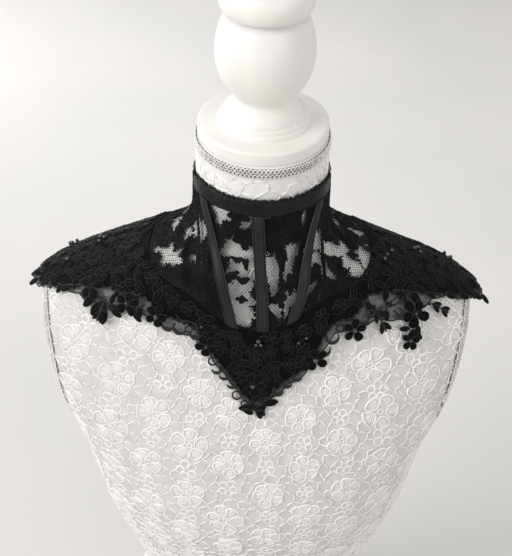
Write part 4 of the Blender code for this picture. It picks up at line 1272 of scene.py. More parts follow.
def woven_outlines(left, right):
    """The thread round each petal of the woven flowers, where a whole petal is in the weave."""
    rng = np.random.default_rng(17)
    rows = []
    for r, d in enumerate(np.arange(16.0, 112.0, FLOWER_ROW)):
        a, b = float(left(d)), float(right(d))
        step = FLOWER_STEP / float(across_rate((a + b) / 2, d)[0])
        at = np.arange(min(a, b) + step * (0.3 + 0.5 * (r % 2)), max(a, b), step)
        rows += [(v + rng.normal(0, 0.12) * step, d + rng.normal(0, 1.6), rng.uniform(0, 360),
                  rng.uniform(0.8, 1.25)) for v in at]
    p = np.array(rows)
    out = []
    for k in range(5):
        petal = loop_of(7, rng.uniform(1.5, 2.5), 1.2, rng.uniform(5.5, 8.0), 1.4)
        a, d = spread(cloth, p[:, 0], p[:, 1], p[:, 2] + 72.0 * k, p[:, 3], petal)
        lo, hi = np.minimum(left(d), right(d)), np.maximum(left(d), right(d))
        inset = degrees_for(1.6, a, d)
        fine = (~(in_blobs(BARE, a, d) & ~in_blobs(DENSE, a, d)) & (a > lo + inset)
                & (a < hi - inset) & (d < eased(a, "begin") - 2.0)
                & (d > BIND_DROP + 1.0)).all(1)
        out.append(cord_on(cloth, a[fine], d[fine], NET_TOP - 0.15, 0.4, 0.5, 3, True))
    return out


def diamonds(ang, dn, ci, cj, step):
    """Closed plates on the diamonds with these middles; a side that only one has is rim."""
    used = np.zeros(ang.shape, int) - 1
    corners = [(ci - 1, cj), (ci, cj + 1), (ci + 1, cj), (ci, cj - 1)]
    for i, j in corners:
        used[i, j] = 1
    ui, uj = np.where(used > 0)
    n = len(ui)
    used[ui, uj] = np.arange(n)
    quad = np.stack([used[i, j] for i, j in corners], -1)
    flat = np.stack([ui * step, uj * step], -1) * MM
    edges = np.concatenate([quad[:, [k, (k + 1) % 4]] for k in range(4)])
    key = np.sort(edges, 1) @ np.array([n + 1, 1])
    _, first, count = np.unique(key, return_index=True, return_counts=True)
    rim = edges[first[count == 1]]
    return chunk(np.concatenate([cloth(ang[ui, uj], dn[ui, uj], NET_TOP - h) for h in (0, 0.5)]),
                 np.concatenate([quad, quad[:, ::-1] + n,
                                 np.stack([rim[:, 0], rim[:, 0] + n, rim[:, 1] + n,
                                           rim[:, 1]], -1)]),
                 np.zeros((0, 3)), np.concatenate([flat, flat]))


def net_gore(node_name, left, right):
    """One gore: plates where it is woven, strands where it is bare, and doubled seams."""
    ang, dn, inside = lattice(left, right)
    fine_ang, fine_dn, _ = lattice(left, right, 2)
    nu, nv = ang.shape
    ii, jj = np.meshgrid(np.arange(nu), np.arange(nv), indexing="ij")
    knot = inside & ((ii + jj) % 2 == 0)
    core = np.zeros_like(knot)
    core[1:-1, 1:-1] = ((ii + jj) % 2 == 1)[1:-1, 1:-1]
    for di, dj in ((1, 0), (-1, 0), (0, 1), (0, -1)):
        core[1:-1, 1:-1] &= knot[1 + di:nu - 1 + di, 1 + dj:nv - 1 + dj]
    # Each diamond is four small ones. Round a bare place the weave breaks up, so the rim
    # of it is partly filled, and where all four are woven one large plate serves.
    rng = np.random.default_rng(nu)
    open_mesh = in_blobs(BARE, fine_ang, fine_dn)
    open_mesh |= in_blobs(BARE, fine_ang, fine_dn, 1.35) & (rng.random(fine_ang.shape) < 0.4)
    open_mesh |= rng.random(fine_ang.shape) < 0.012
    open_mesh &= ~in_blobs(DENSE, fine_ang, fine_dn, 1.0)
    ci, cj = np.where(core)
    spots = [(2 * ci + 1, 2 * cj), (2 * ci - 1, 2 * cj), (2 * ci, 2 * cj + 1),
             (2 * ci, 2 * cj - 1)]
    filled = np.stack([~open_mesh[i, j] for i, j in spots])
    whole = filled.all(0)
    woven = np.zeros_like(core)
    woven[ci[whole], cj[whole]] = True
    si, sj = (np.concatenate([s[k][f & ~whole] for s, f in zip(spots, filled)]) for k in (0, 1))
    plates = [diamonds(ang, dn, ci[whole], cj[whole], CELL / 2),
              diamonds(fine_ang, fine_dn, si, sj, CELL / 4)]

    # Strands: the two diagonals from each knot, but not inside a woven place.
    ends = []
    for dj in (1, -1):
        a = np.zeros_like(knot)
        s = (slice(0, nu - 1), slice(0, nv - 1) if dj == 1 else slice(1, nv))
        e = (slice(1, nu), slice(1, nv) if dj == 1 else slice(0, nv - 1))
        a[s] = knot[s] & knot[e]
        i, j = np.where(a)
        cells = [(i + 1, j), (i, j + dj)]
        full = woven[np.clip(cells[0][0], 0, nu - 1), cells[0][1]] & woven[cells[1][0], np.clip(
            cells[1][1], 0, nv - 1)]
        i, j = i[~full], j[~full]
        ends.append((i, j, i + 1, j + dj))
    i0, j0, i1, j1 = (np.concatenate([e[k] for e in ends]) for k in range(4))
    strands = cord_on(cloth, np.stack([ang[i0, j0], ang[i1, j1]], 1),
                      np.stack([dn[i0, j0], dn[i1, j1]], 1), NET_TOP - 0.4, STRAND, 0.26)

    # The seam allowances: a narrow double strip down each side and along the foot.
    ga, gd = gore_outline(left, right, 41, 61)
    strips = []
    for k, way in ((0, 1), (-1, -1)):
        inner = ga[k] + way * degrees_for(1.5, ga[k], gd[k])
        strips.append((np.stack([ga[k], inner][::way]), np.stack([gd[k]] * 2), 0.25))
    strips.append((np.stack([ga[:, -1]] * 2, 1), np.stack([gd[:, -1] - 2.2, gd[:, -1]], 1), 0.2))
    seams = [shell(cloth(a, d, NET_TOP + high), cloth(a, d, NET_TOP - 0.6),
                   np.stack([a * 0.0015, d * MM], -1)) for a, d, high in strips]
    obj = make_piece(node_name.replace("gore", "net"),
                     plates + [strands] + seams + woven_outlines(left, right),
                     [NYLON_NET], smooth=False)
    grid = cloth(ga, gd, NET_TOP)
    wide, tall = sheet_sides(grid)
    belongs(obj, node_name)


for row in GORES:
    net_gore(*row)

# %% [markdown]
# ## Binding, bones and back edges
#
# The binding is one strip of fold-over elastic folded over the collar's top, with a fine
# uneven picot and tiny tufts along its fold. The three bones run in satin channels, domed
# over the steel and flat along both edges, where a line of stitches holds them down. A
# dome is one square-root curve across the strip, and the stitched groove is cut into it.

# %% Binding
TUFTS = 260


def collar_binding():
    """A folded section carried round the collar, with a slow wave and fine tufts on top."""
    # The section from the outer foot over the fold to the inner foot and back: out, down.
    sect = [(2.9, 12.0), (3.1, 11.0), (2.9, 9.0), (2.9, 6.0), (2.7, 3.0), (2.2, 1.2),
            (1.5, 0.3), (0.8, 0.0), (0.0, 0.3), (-0.7, 1.4), (-0.8, 10.0), (0.05, 10.0),
            (0.1, 2.2), (1.9, 2.4), (2.1, 12.0)]
    end = 180.0 - float(degrees_for(BACK_HALF_GAP, 180.0, 5.0))
    a = np.linspace(-end, end, 421)[:, None]
    out, dn = np.array(sect).T[:, None] + 0 * a
    outer = (np.arange(len(sect)) < 6)[None, :]
    out = out + outer * 0.16 * np.sin(np.radians(a) * 37 + dn * 0.5) * np.sin(np.radians(a) * 11)
    # It hugs the neck at the sides and back, and its top edge has a fine uneven picot.
    out = out * (1 - 0.52 * np.clip((np.abs(a) - 55) / 45, 0, 1))
    dn = dn - (dn < 0.5) * (0.8 + 0.9 * np.sin(a * 1.52 + 2.0 * np.sin(a * 0.31)))
    dn = dn + (dn > 11) * 0.35 * np.sin(np.radians(a) * 9 + 1.0)
    p = lay(a + 0 * out, dn + side_drop(a, dn), out)
    hubs = np.stack([p[0].mean(0), p[-1].mean(0)])
    flat = np.stack([a * 0.93 + 0 * out,
                     1.5 * np.arange(1, p.shape[1] + 1)[None] + 0 * a], -1) * MM
    body = chunk(np.concatenate([p.reshape(-1, 3), hubs]), *tube_faces(*p.shape[:2]),
                 np.concatenate([flat.reshape(-1, 2), [[0, 0], [0, 0]]]))
    rng = np.random.default_rng(5)
    at = np.linspace(-end + 0.6, end - 0.6, TUFTS) + rng.normal(0, 0.25, TUFTS)
    f = np.linspace(0, 1, 3)[None, :]
    lean = rng.normal(0, 0.5, TUFTS)[:, None]
    tall = rng.uniform(1.2, 3.2, TUFTS)[:, None]
    ta = at[:, None] + lean * f * 1.1
    out = 0.9 + rng.uniform(-0.9, 0.9, TUFTS)[:, None]
    base = lay(ta, 0.2 + side_drop(ta, 0.2), out + 0 * ta)
    tuft = base + np.array([0, 0, 1.0]) * (f * tall)[..., None]
    out_dir = lay(ta, 0.2 + 0 * ta, 2.0) - lay(ta, 0.2 + 0 * ta, 1.0)
    tufts = cord_along(tuft, out_dir, 0.75 * (1 - 0.75 * f), 0.8 * (1 - 0.7 * f))
    obj = make_piece("satin_binding", [body, tufts], [FOLD_ELASTIC])
    girth = float(np.linalg.norm(np.diff(lay(a[:, 0], 6.0, 3.0), axis=0), axis=-1).sum()) * MM
    belongs(obj, "collar_binding")


collar_binding()


# %% Bones and tapes
def stitches(surface, angle, down, out, pitch=2.4, long=1.7, half=0.17, high=0.22):
    """Short raised threads end to end along one line of places."""
    p = surface(angle, down, out)
    run = lengths(p)
    at = np.arange(1.0, run[-1] - long, pitch)[:, None] + np.linspace(0, long, 3)[None, :]
    a, d, o = (np.interp(at, run, np.broadcast_to(v, run.shape)) for v in (angle, down, out))
    return cord_on(surface, a, d, o, half, high)


def stitched_strip(node_name, name, angle, down, height, flat, lines, finishes,
                   second=None):
    """A strip of satin with lines of stitches along some of its rows of points."""
    outer = lay(angle, down, height)
    chunks = [shell(outer, lay(angle, down, OVER_IN + 0 * height), flat, second)]
    chunks += [stitches(lay, angle[i], down[i], height[i] - 0.02) for i in lines]
    obj = make_piece(name, chunks, finishes)
    belongs(obj, node_name)


def bone_channel(node_name, line):
    """Height = 3.15 + 0.85*sqrt(1 - (u/0.74)^2), less a groove at u = 0.76 for the
    stitches, and with a piped ridge at u = 0.92."""
    u = np.array([0.0, 0.15, 0.3, 0.45, 0.58, 0.67, 0.73, 0.78, 0.84, 0.89, 0.93, 0.97, 1.0])
    u = np.concatenate([-u[:0:-1], u])[:, None]
    v = np.linspace(0, 1, 60)[None, :]
    top = BIND_DROP + SEAM_GAP
    down = top + v * 90 + 0 * u
    for _ in range(12):
        ang = seam(line, down) + u * degrees_for(BONE_HALF, seam(line, down), down)
        down = top + v * (eased(ang, "begin") - SEAM_GAP - top)
    dome = np.where(np.abs(u) < 0.72, np.sqrt(np.clip(1 - (u / 0.74) ** 2, 0, 1)), 0.0)
    height = (BONE_EDGE + 0.25 + 0.85 * dome - 0.4 * np.exp(-((np.abs(u) - 0.76) / 0.07) ** 2)
              + 0.10 * np.sin(v * 19 + u * 3) * (np.abs(u) < 0.7)
              + 0.45 * np.exp(-((np.abs(u) - 0.92) / 0.05) ** 2) - 0.35 * (np.abs(u) > 0.99))
    flat = np.stack([u * BONE_HALF + 0 * v, down], -1) * MM
    # The folded edges are painted a lighter shade: a painted highlight.
    painted_highlight_cells = np.broadcast_to((np.abs(u[1:] + u[:-1]) > 1.74), (len(u) - 1, v.shape[1] - 1))
    lines = [int(np.argmin(np.abs(u[:, 0] - s))) for s in (-0.76, 0.76)]
    stitched_strip(node_name, node_name.replace("bone", "bone_channel"), ang, down, height,
                   flat, lines, [SATIN, SATIN_EDGE_PAINTED_HIGHLIGHT], painted_highlight_cells)


def edge_tape(node_name, side):
    """The satin tape along a centre back edge, with two lines of stitches."""
    top = BIND_DROP + SEAM_GAP
    u = np.linspace(0, 1, 9)[::-side, None]
    v = np.linspace(0, 1, 40)[None, :]
    down = top + v * (TAPE_FOOT - top) + 0 * u
    ang = side * (180.0 - degrees_for(BACK_HALF_GAP + EDGE_TAPE * u, 180.0, down))
    height = OVER_IN + 0.9 + 0.08 * np.sin(v * 23 + u * 4) + 0 * u
    flat = np.stack([u * EDGE_TAPE + 0 * v, down], -1) * MM
    stitched_strip(node_name, node_name.replace("back_tape", "edge_tape"), ang, down, height,
                   flat, (1, 7)[::-side], [SATIN])


def wire_hook(number, down):
    """A bent wire: two sewing eyes, two legs, and a bend that crosses the slit."""
    th = np.linspace(-0.2, 1.5 * math.pi, 10)
    eye = np.stack([-4.6 + 1.1 * np.cos(th + 0.6), -1.0 + 0.9 * np.sin(th + 0.6)], -1)
    legs = np.array([(-3.0, -0.55), (0.5, -0.55), (3.6, -0.55), (5.2, -0.4), (5.9, 0.0)])
    half = np.concatenate([eye, legs])
    path = np.concatenate([half, (half * [1, -1])[::-1][1:]])
    a = 180.0 + degrees_for(1.0, 180.0, down) * path[:, 0]
    wire = cord_on(lay, a[None], (down + path[:, 1])[None], OVER_IN + 1.25, 0.34, 0.7, 5)
    belongs(make_piece("wire_hook_%d" % number, [wire], [HOOK_WIRE]),
            "hook_%d" % number)


HOOK_FIRST, HOOK_STEP = 20.0, 17.0
for word, line in (("right", "bone_r"), ("centre", "bone_mid"), ("left", "bone_l")):
    bone_channel("bone_" + word, line)
for word, side in (("right", -1), ("left", 1)):
    edge_tape("back_tape_" + word, side)
for k in range(4):
    wire_hook(k + 1, HOOK_FIRST + HOOK_STEP * k)

# %% [markdown]
# ## Corded lace
#
# The wide edge is corded lace: machine embroidery on tulle, with a thick thread sewn
# round each petal and leaf. Its ground is a thin shell with a scalloped edge. Along the
# front the embroidery stops short and only sheer tulle lies between the last flowers.
# Painting that on would leave it flat, so each outline is a real cord, and petals and
# leaves are small domed plates.

# %% Lace ground
OPEN = columns(("angle", "depth"), [
    (-90, 0), (-84, 0), (-79, 3), (-74, 12), (-68, 18), (-62, 17), (-56, 11), (-49, 7), (-43, 9),
    (-37, 8), (-31, 5), (-24, 4), (-15, 3.5), (-6, 3), (6, 3.5), (14, 4), (22, 4), (29, 5),
    (35, 8), (42, 8), (48, 8), (53, 13), (58, 22), (63, 26), (68, 24), (72, 12), (76, 3), (82, 0),
    (90, 0),
])


def open_depth(angle):
    """How far up from the edge the bare tulle reaches, at each angle."""
    return np.interp(angle, OPEN["angle"], OPEN["depth"], left=0.0, right=0.0)


def is_open(angle):
    """True where the tulle along the edge is bare; less than 2 mm of it doesn't show."""
    return open_depth(angle) > 2


def lace_edge(angle, start, end, scallops):
    """The scalloped edge: the smooth line plus lobes |sin|^0.6, as deep as in the model."""
    fine = np.linspace(start, end, 1201)
    run = lengths(lay(fine, eased(fine, "edge")))
    f = np.interp(angle, fine, run / run[-1])
    lobe = np.abs(np.sin(np.pi * scallops * f)) ** 0.6
    return eased(angle, "edge") + SCALLOP * (lobe - 0.45) * (1 - 0.55 * is_open(angle))


def lace_ground(name, start, end, scallops):
    """The thin shell of one piece of lace, with its flat size and its area."""
    rate = float(across_rate((start + end) / 2, 120.0)[0])
    n = int(abs(end - start) * rate / 1.5)
    ang = np.linspace(start, end, n)
    gap = degrees_for(SEAM_GAP / 2, ang, eased(ang, "edge"))
    ang = ang + gap * (1 - 2 * np.linspace(0, 1, n))
    edge, begin = lace_edge(ang, start, end, scallops), eased(ang, "begin")
    nv = int((edge - begin).max() / 2.0)
    v = np.linspace(0, 1, nv)[None, :]
    dn = begin[:, None] + v * (edge - begin)[:, None]
    a = ang[:, None] + 0 * v
    outer, inner = cloth(a, dn, LACE_OUT - 0.3), cloth(a, dn, LACE_IN)
    flat = np.stack([a * rate, dn], -1) * MM
    mid_a, mid_d = (a[1:, 1:] + a[:-1, :-1]) / 2, (dn[1:, 1:] + dn[:-1, :-1]) / 2
    sheer = (mid_d > eased(mid_a, "edge") - open_depth(mid_a)) & is_open(mid_a)
    obj = make_piece(name.replace("lace", "lace_ground"), [shell(outer, inner, flat, sheer)],
                     [LACE_GROUND, SHEER_TULLE])
    wide, tall = sheet_sides(outer)
    area = max(min(sheet_area(outer) * 1e-6, wide * tall), 0.3 * wide * tall)
    belongs(obj, name)
    return obj, (wide, tall), area


# %% Motifs of the corded lace
def thick_thread(angle, down, base, half, high, sides=3, closed=False):
    """A cord of the lace: it lies on the cloth and takes the piece's second finish."""
    return cord_on(cloth, angle, down, base, half, high, sides, closed, 1)


def leaf_path(points, long, wide):
    """A pointed leaf from its root at 0: across = wide*sin*|sin|^0.3."""
    th = np.linspace(0, 2 * math.pi, points, endpoint=False)
    return np.stack([-wide * np.sin(th) * np.abs(np.sin(th)) ** 0.3,
                     long * 0.5 * (1 - np.cos(th))], -1)


def corded_leaves(angle, down, turn, size, long, wide, base, points=12):
    """Domed leaf plates with a cord round each and a cord for the midrib."""
    leaf = leaf_path(points, long, wide)
    rib = np.stack([np.zeros(4), np.linspace(0.1, 0.85, 4) * long], -1)
    a, d = spread(cloth, angle, down, turn, size, leaf * 0.96)
    ra, rd = spread(cloth, angle, down, turn, size, rib)
    return [plates_on(cloth, angle, down, turn, size, leaf, base, 0.7, 0.5),
            thick_thread(a, d, base + 0.5, 0.45, 0.75, 3, True),
            thick_thread(ra, rd, base + 1.0, 0.3, 0.4)]


def corded_flowers(angle, down, turn, size, radius, petals, base, points=10):
    """Petals as plates with a cord round each, a fine vein, and a ring in the middle."""
    angle, down, turn, size = as_rows(angle, down, turn, size)
    rng = np.random.default_rng(int(radius * 10) + petals)
    half = radius * math.sin(math.pi / petals)
    vein = np.stack([np.zeros(3), np.array([0.34, 0.55, 0.76]) * radius], -1)
    out = []
    for k in range(petals):
        t = turn + 360.0 * k / petals + rng.uniform(-6, 6)
        lift = 0.12 * (k % 2)
        petal = loop_of(points, half * rng.uniform(0.44, 0.6), radius * 0.16,
                        radius * rng.uniform(0.86, 1.04), 1.2)
        a, d = spread(cloth, angle, down, t, size, petal * [0.94, 0.97])
        va, vd = spread(cloth, angle, down, t, size, vein)
        out += [plates_on(cloth, angle, down, t, size, petal, base + lift, 0.7, 0.45),
                thick_thread(a, d, base + lift + 0.5, 0.45, 0.8, 3, True),
                thick_thread(va, vd, base + lift + 0.9, 0.26, 0.4)]
    a, d = spread(cloth, angle, down, turn, size, ring_of(10, radius * 0.2))
    out.append(thick_thread(a, d, base + 0.7, 0.5, 0.9, 3, True))
    return out


def corded_rings(angle, down, size, base, half=0.75):
    """Rings of thick cord, as on the loops of the edge."""
    a, d = spread(cloth, angle, down, 0.0, size, ring_of(14, 1.0))
    return [thick_thread(a, d, base, half, 1.2, 4, True)]


def corded_crescents(angle, down, turn, size, base):
    """Thick arcs over 230 degrees that swell in the middle: half width 0.5 + 1.1*sin."""
    th = np.radians(np.linspace(-115, 115, 11))
    arc = np.stack([np.sin(th), np.cos(th)], -1)
    f = np.linspace(0, 1, 11)[None, :]
    a, d = spread(cloth, angle, down, turn, size, arc)
    swell = np.sin(np.pi * f)
    return [thick_thread(a, d, base, 0.5 + 1.1 * swell, 0.6 + 0.8 * swell, 5)]


def pearls(angle, down, radius, base):
    """Beads as small globes of 10 by 6 faces that sink a little into the lace."""
    radius = np.asarray(radius, float)
    c = cloth(np.asarray(angle, float), np.asarray(down, float), base + radius * 0.75)
    rings, around = 5, 10
    lat = np.linspace(0, math.pi, rings + 2)[1:-1]
    lon = np.linspace(0, 2 * math.pi, around, endpoint=False)
    ball = np.stack([np.sin(lat)[:, None] * np.cos(lon), np.sin(lat)[:, None] * np.sin(lon),
                     np.cos(lat)[:, None] + 0 * lon], -1).reshape(-1, 3)
    ball = np.concatenate([ball, [[0, 0, 1.0], [0, 0, -1.0]]])
    v = c[:, None] + ball[None] * radius[:, None, None]
    quads, tris = tube_faces(rings, around)
    off = (np.arange(len(c)) * len(ball))[:, None, None]
    flat = np.broadcast_to(ball[None, :, :2] * 0.002, (len(c), len(ball), 2))
    return chunk(v, quads[None] + off, tris[None] + off, flat, 2)


# %% Edge motifs along the front and the shoulders
# Each row: angle, distance down, size, turn.
EDGE_LEAVES = [
    (-86.0, 198, 12, -10), (-82.5, 186, 12, -30), (-79.5, 172, 11, 20), (-77.0, 168, 10, -25),
    (-69.8, 151, 13, -8), (-67.4, 149, 14, 0), (-65.0, 148, 14, 16), (-64.4, 143, 13, 78),
    (-64.6, 142, 9, 200), (-61.0, 140, 11, -80), (-57.6, 131, 11, 60), (-58.8, 119, 9, -30),
    (-56.0, 124, 10, 15), (3.0, 174.5, 13, 4), (1.6, 176, 15, -80), (4.6, 173.5, 13, 98),
    (5.4, 164, 12, -62), (55.6, 112, 10, 10), (58.0, 119, 9, -50), (61.6, 124, 8, 30),
    (60.6, 129, 9, -20), (67.4, 125, 13, 4), (70.6, 136, 14, -4), (66.8, 160, 12, -40),
    (64.6, 158, 13, 20), (70.4, 150, 11, -70), (62.0, 150, 9, 60), (74.6, 150, 9, 10),
    (78.4, 166, 11, 20), (81.4, 178, 12, 12), (84.4, 192, 13, 16), (86.4, 203, 12, 0),
]
EDGE_RINGS = [
    (-70.6, 157, 3.4, 0), (-67.4, 147, 3.4, 0), (-35.6, 119, 2.8, 0), (-29.4, 125, 3.0, 0),
    (-22.0, 140, 3.4, 0), (-8.4, 167, 3.6, 0), (-4.4, 174, 2.6, 0), (4.6, 171, 2.9, 0),
    (43.4, 120, 3.0, 0),
]
EDGE_CRESCENTS = [
    (-72.2, 155, 5.2, -20), (-44.6, 123, 4.8, 10), (-39.6, 121, 5.0, -14), (-32.4, 121, 3.8, 20),
    (-19.6, 146, 3.6, 40), (-15.6, 150, 3.8, 34), (-11.6, 157, 3.6, 46), (12.4, 162, 4.2, -34),
    (17.0, 156, 3.6, -26), (22.0, 151, 3.6, -20), (35.4, 133, 5.0, -10), (39.8, 125, 5.0, -4),
    (52.6, 122, 4.4, 10), (63.4, 138, 4.0, 30),
]
# Each rope is a line of places: angle, distance down.
ROPES = [
    [(53, 120), (55, 125), (57.5, 127), (59, 124), (61, 127), (63.2, 131), (65.6, 133), (68, 134)],
    [(54, 118), (56.4, 121), (58.2, 125.5), (60.4, 129), (62.4, 127.6), (64.6, 128), (67, 130)],
    [(-62.5, 128), (-61, 134), (-58.6, 134), (-57, 128), (-55, 121)],
    [(-42.6, 112), (-39.6, 114), (-36, 112), (-33, 113), (-30.6, 118)],
    [(62.6, 134), (63.6, 141), (66, 146), (68.4, 142), (69.6, 135)],
    [(67.5, 150), (69.6, 151.5), (71.4, 154), (73.0, 158)],
    [(-66.5, 143), (-67.6, 147), (-69.0, 150), (-70.6, 152)],
]


def edge_motifs(start, end):
    """Chunks of the listed motifs and ropes that lie on one piece of the lace."""
    out = []
    for table in (EDGE_LEAVES, EDGE_RINGS, EDGE_CRESCENTS):
        rows = np.array([r for r in table if start <= r[0] < end], float)
        if not len(rows):
            continue
        a, d, size, turn = rows.T
        if table is EDGE_LEAVES:
            out += corded_leaves(a, d, turn, size, 1.0, 0.24, LACE_OUT - 0.4)
        elif table is EDGE_RINGS:
            out += corded_rings(a, d, size, LACE_OUT - 0.6)
        else:
            out += corded_crescents(a, d, turn, size, LACE_OUT - 0.6)
    for rope in ROPES:
        p = smooth_curve(rope, 5)
        if start <= p[0, 0] < end:
            for k in (-0.55, 0.55):
                f = np.arange(len(p)) * 0.9
                a, d = aside(cloth, p[:, 0], p[:, 1], k * np.cos(f), k * np.sin(f))
                out.append(thick_thread(a[None], d[None], LACE_OUT + 0.1, 0.5, 0.9, 4))
    return out


# %% The field of the lace
FIELD_ROW, FIELD_STEP = 11.5, 13.5           # mm between the field's motifs, down and across


def field_places(start, end):
    """Staggered rows of places between the net and the openwork, each moved a little."""
    rng = np.random.default_rng(int(abs(start) * 7 + 3))
    rows = []
    for r, d in enumerate(np.arange(92.0, 206.0, FIELD_ROW)):
        a = start + 2.0
        while a < end - 1.0:
            rate = float(across_rate(a, d)[0])
            step = FIELD_STEP / rate
            at = a + step * (0.5 if r % 2 else 0.0)
            top, foot = float(eased(at, "begin")), float(eased(at, "edge")) - float(open_depth(at))
            if at < end - 4.0 / rate and top + 5.5 < d < foot - 4.5:
                rows.append((at + rng.normal(0, 1.2) / rate, d + rng.normal(0, 1.3),
                             rng.uniform(0, 360), rng.uniform(0.86, 1.12), rng.integers(0, 5)))
            a += step
    return np.array(rows)


def lace_field(start, end):
    """Flowers, sprigs of three leaves and curls at the places of the field."""
    places = field_places(start, end)
    kind = places[:, 4].astype(int)
    out = []
    for k, radius in ((0, 7.6), (1, 6.4)):
        p = places[kind == k]
        if len(p):
            out += corded_flowers(p[:, 0], p[:, 1], p[:, 2], p[:, 3], radius, 5,
                                  LACE_OUT - 0.4, 8)
    p = places[kind >= 2]
    for turn, long, wide in ((0, 11.5, 2.9), (128, 9.5, 2.5), (236, 10.5, 2.7)):
        out += corded_leaves(p[:, 0], p[:, 1], p[:, 2] + turn, p[:, 3], long, wide,
                             LACE_OUT - 0.4, 10)
    th = np.linspace(0.3, 4.6, 12)
    curl = np.stack([(1.4 + 1.3 * th) * np.cos(th), (1.4 + 1.3 * th) * np.sin(th)], -1)
    a, d = spread(cloth, places[:, 0], places[:, 1], places[:, 2] + 60, places[:, 3] * 1.1, curl)
    keep = np.all((d > eased(a, "begin") + 1.5) & (d < eased(a, "edge") - open_depth(a) - 1.5)
                  & (a > start + 0.4) & (a < end - 0.4), axis=1)
    out.append(thick_thread(a[keep], d[keep], LACE_OUT - 0.1, 0.42, 0.7))
    return out


def lace_edging(start, end, scallops):
    """A cord along the edge, one where the bare tulle begins, and picots where it is closed."""
    n = int((end - start) * 2.2)
    a = np.linspace(start + 0.3, end - 0.3, n)
    rim = lace_edge(a, start, end, scallops) - 0.9
    out = [thick_thread(a[None], rim[None], LACE_OUT - 0.5, 0.6, 1.0, 4)]
    inner = eased(a, "edge") - open_depth(a) - 0.5
    part = is_open(a)
    for piece in np.split(np.arange(n), np.where(np.diff(part.astype(int)))[0] + 1):
        if part[piece[0]] and len(piece) > 3:
            wob = inner[piece] + 0.9 * np.sin(a[piece] * 2.6)
            out.append(thick_thread(a[piece][None], wob[None], LACE_OUT - 0.3, 0.75, 1.1, 4))
    run = lengths(lay(a, rim))
    at = np.arange(2.0, run[-1] - 2.0, 4.2)
    pa, pd = np.interp(at, run, a), np.interp(at, run, rim)
    closed = ~is_open(pa)
    if closed.any():
        size = 1.5 + 0.5 * np.sin(at[closed] * 1.7)
        out += corded_rings(pa[closed], pd[closed] + 0.6, size, LACE_OUT - 0.6, 0.6)
    return out


# %% Pearl clusters
# Each row: angle, distance down, radius.
PEARLS = [
    (-93.5, 137, 1.9), (-92.0, 141, 1.8), (-94.6, 141.5, 1.8), (-99, 178, 2.0), (-97.4, 173, 1.8),
    (-100.6, 174, 1.7), (-87, 168, 2.0), (75.5, 106, 1.7), (80, 108, 1.6), (84, 112, 1.7),
    (92, 136, 1.9), (93.6, 140, 1.8), (90.6, 140.6, 1.8), (96, 176, 1.9), (97.8, 172, 1.8),
    (94.6, 171.6, 1.7), (2, 117, 2.1), (0.6, 120.4, 1.7), (3.4, 120.6, 1.7), (-150, 118, 1.8),
    (-148, 121, 1.8), (150, 118, 1.8), (152, 121, 1.7), (-118, 130, 1.9), (118, 130, 1.9),
    (-120, 133, 1.7), (120, 133, 1.7), (28, 118, 1.6), (24, 121, 1.5), (-30, 112, 1.5),
]


def embroidery(name, start, end, scallops):
    """All the thread work and the pearls on one piece of the lace."""
    chunks = lace_field(start, end) + lace_edging(start, end, scallops) + edge_motifs(start, end)
    mine = np.array([r for r in PEARLS if start <= r[0] < end])
    if len(mine):
        chunks.append(pearls(*mine.T, LACE_OUT + 0.9))
    obj = make_piece(name.replace("lace", "embroidery"), chunks,
                     [LACE_GROUND, RAYON_CORD, GLASS_PEARL])
    belongs(obj)
    return obj


for row in LACES:
    ground, flat, area = lace_ground(*row)
    embroidery(*row)

# %% [markdown]
# ## Flowers and sprays sewn on
#
# Nine flowers and four leaf sprays are cut from the same lace and sewn over its edge. All
# flowers but one have a pearl. They use the same petals and leaves, only larger.

# %% Sewn flowers and sprays
# Radius of a flower's pearl where it isn't the usual 1.3 mm; 0 is none.
WITH_PEARL = {"flower_pearl_right": 2.2, "flower_vee_tip": 2.2, "flower_vee_left": 2.4,
              "flower_chest_left": 1.8, "flower_hang_right": 0.0}


def sewn_flower(name, angle, down, radius, petals, turn):
    """One flower cut from the lace, with a pearl in the middle where it has one."""
    chunks = corded_flowers([angle], [down], [turn], [1.0], radius, petals, MOTIF_IN, 14)
    size = WITH_PEARL.get(name, 1.3)
    if size:
        chunks.append(pearls([angle], [down], [size], MOTIF_IN + 0.9))
    belongs(make_piece(name.replace("flower", "sewn_flower"), chunks,
                       [LACE_GROUND, RAYON_CORD, GLASS_PEARL]), name)


def sewn_spray(name, angle, down, turn, length, leaf, leaves):
    """A double stem with a pair of leaves at each swelling of the solid."""
    t = math.radians(turn)
    f = np.linspace(0, 1, 10)
    chunks = []
    for k in (-0.5, 0.5):
        line = np.stack([k * np.cos(f * 9), length * 0.96 * f], -1)
        a, d = spread(cloth, angle, down, turn, 1.0, line)
        chunks.append(thick_thread(a, d, MOTIF_IN + 0.2, 0.55, 1.0, 4))
    for k in range(int(leaves)):
        y = length * (k + 0.12) / leaves
        for side in (-1, 1):
            a, d = aside(cloth, np.array([angle]), np.array([float(down)]),
                         np.array([y * math.sin(t)]), np.array([y * math.cos(t)]))
            chunks += corded_leaves(a, d, turn + side * 24, 1.0, length / leaves * 0.95,
                                    leaf * 0.5, MOTIF_IN)
    belongs(make_piece(name.replace("spray", "sewn_spray"), chunks, [LACE_GROUND, RAYON_CORD]),
            name)


for row in FLOWERS:
    sewn_flower(*row)
for row in SPRAYS:
    sewn_spray(*row)

# %% [markdown]
# ## Floor, light and camera
#
# The form stands on a plain pale floor. A large soft light stands to the left and a little
# in front, as a window would, a second one further back lights the floor behind, a weak
# one in front on the right softens the near side, and an even sky fills the shadows. The
# camera looks down on the shoulders from the front, a little over arm's length away.

# %% Floor
FLOOR_HALF, FLOOR_FLAT, FLOOR_RISE = 9.0, 3.0, 0.075     # metres, and rise for each m^2


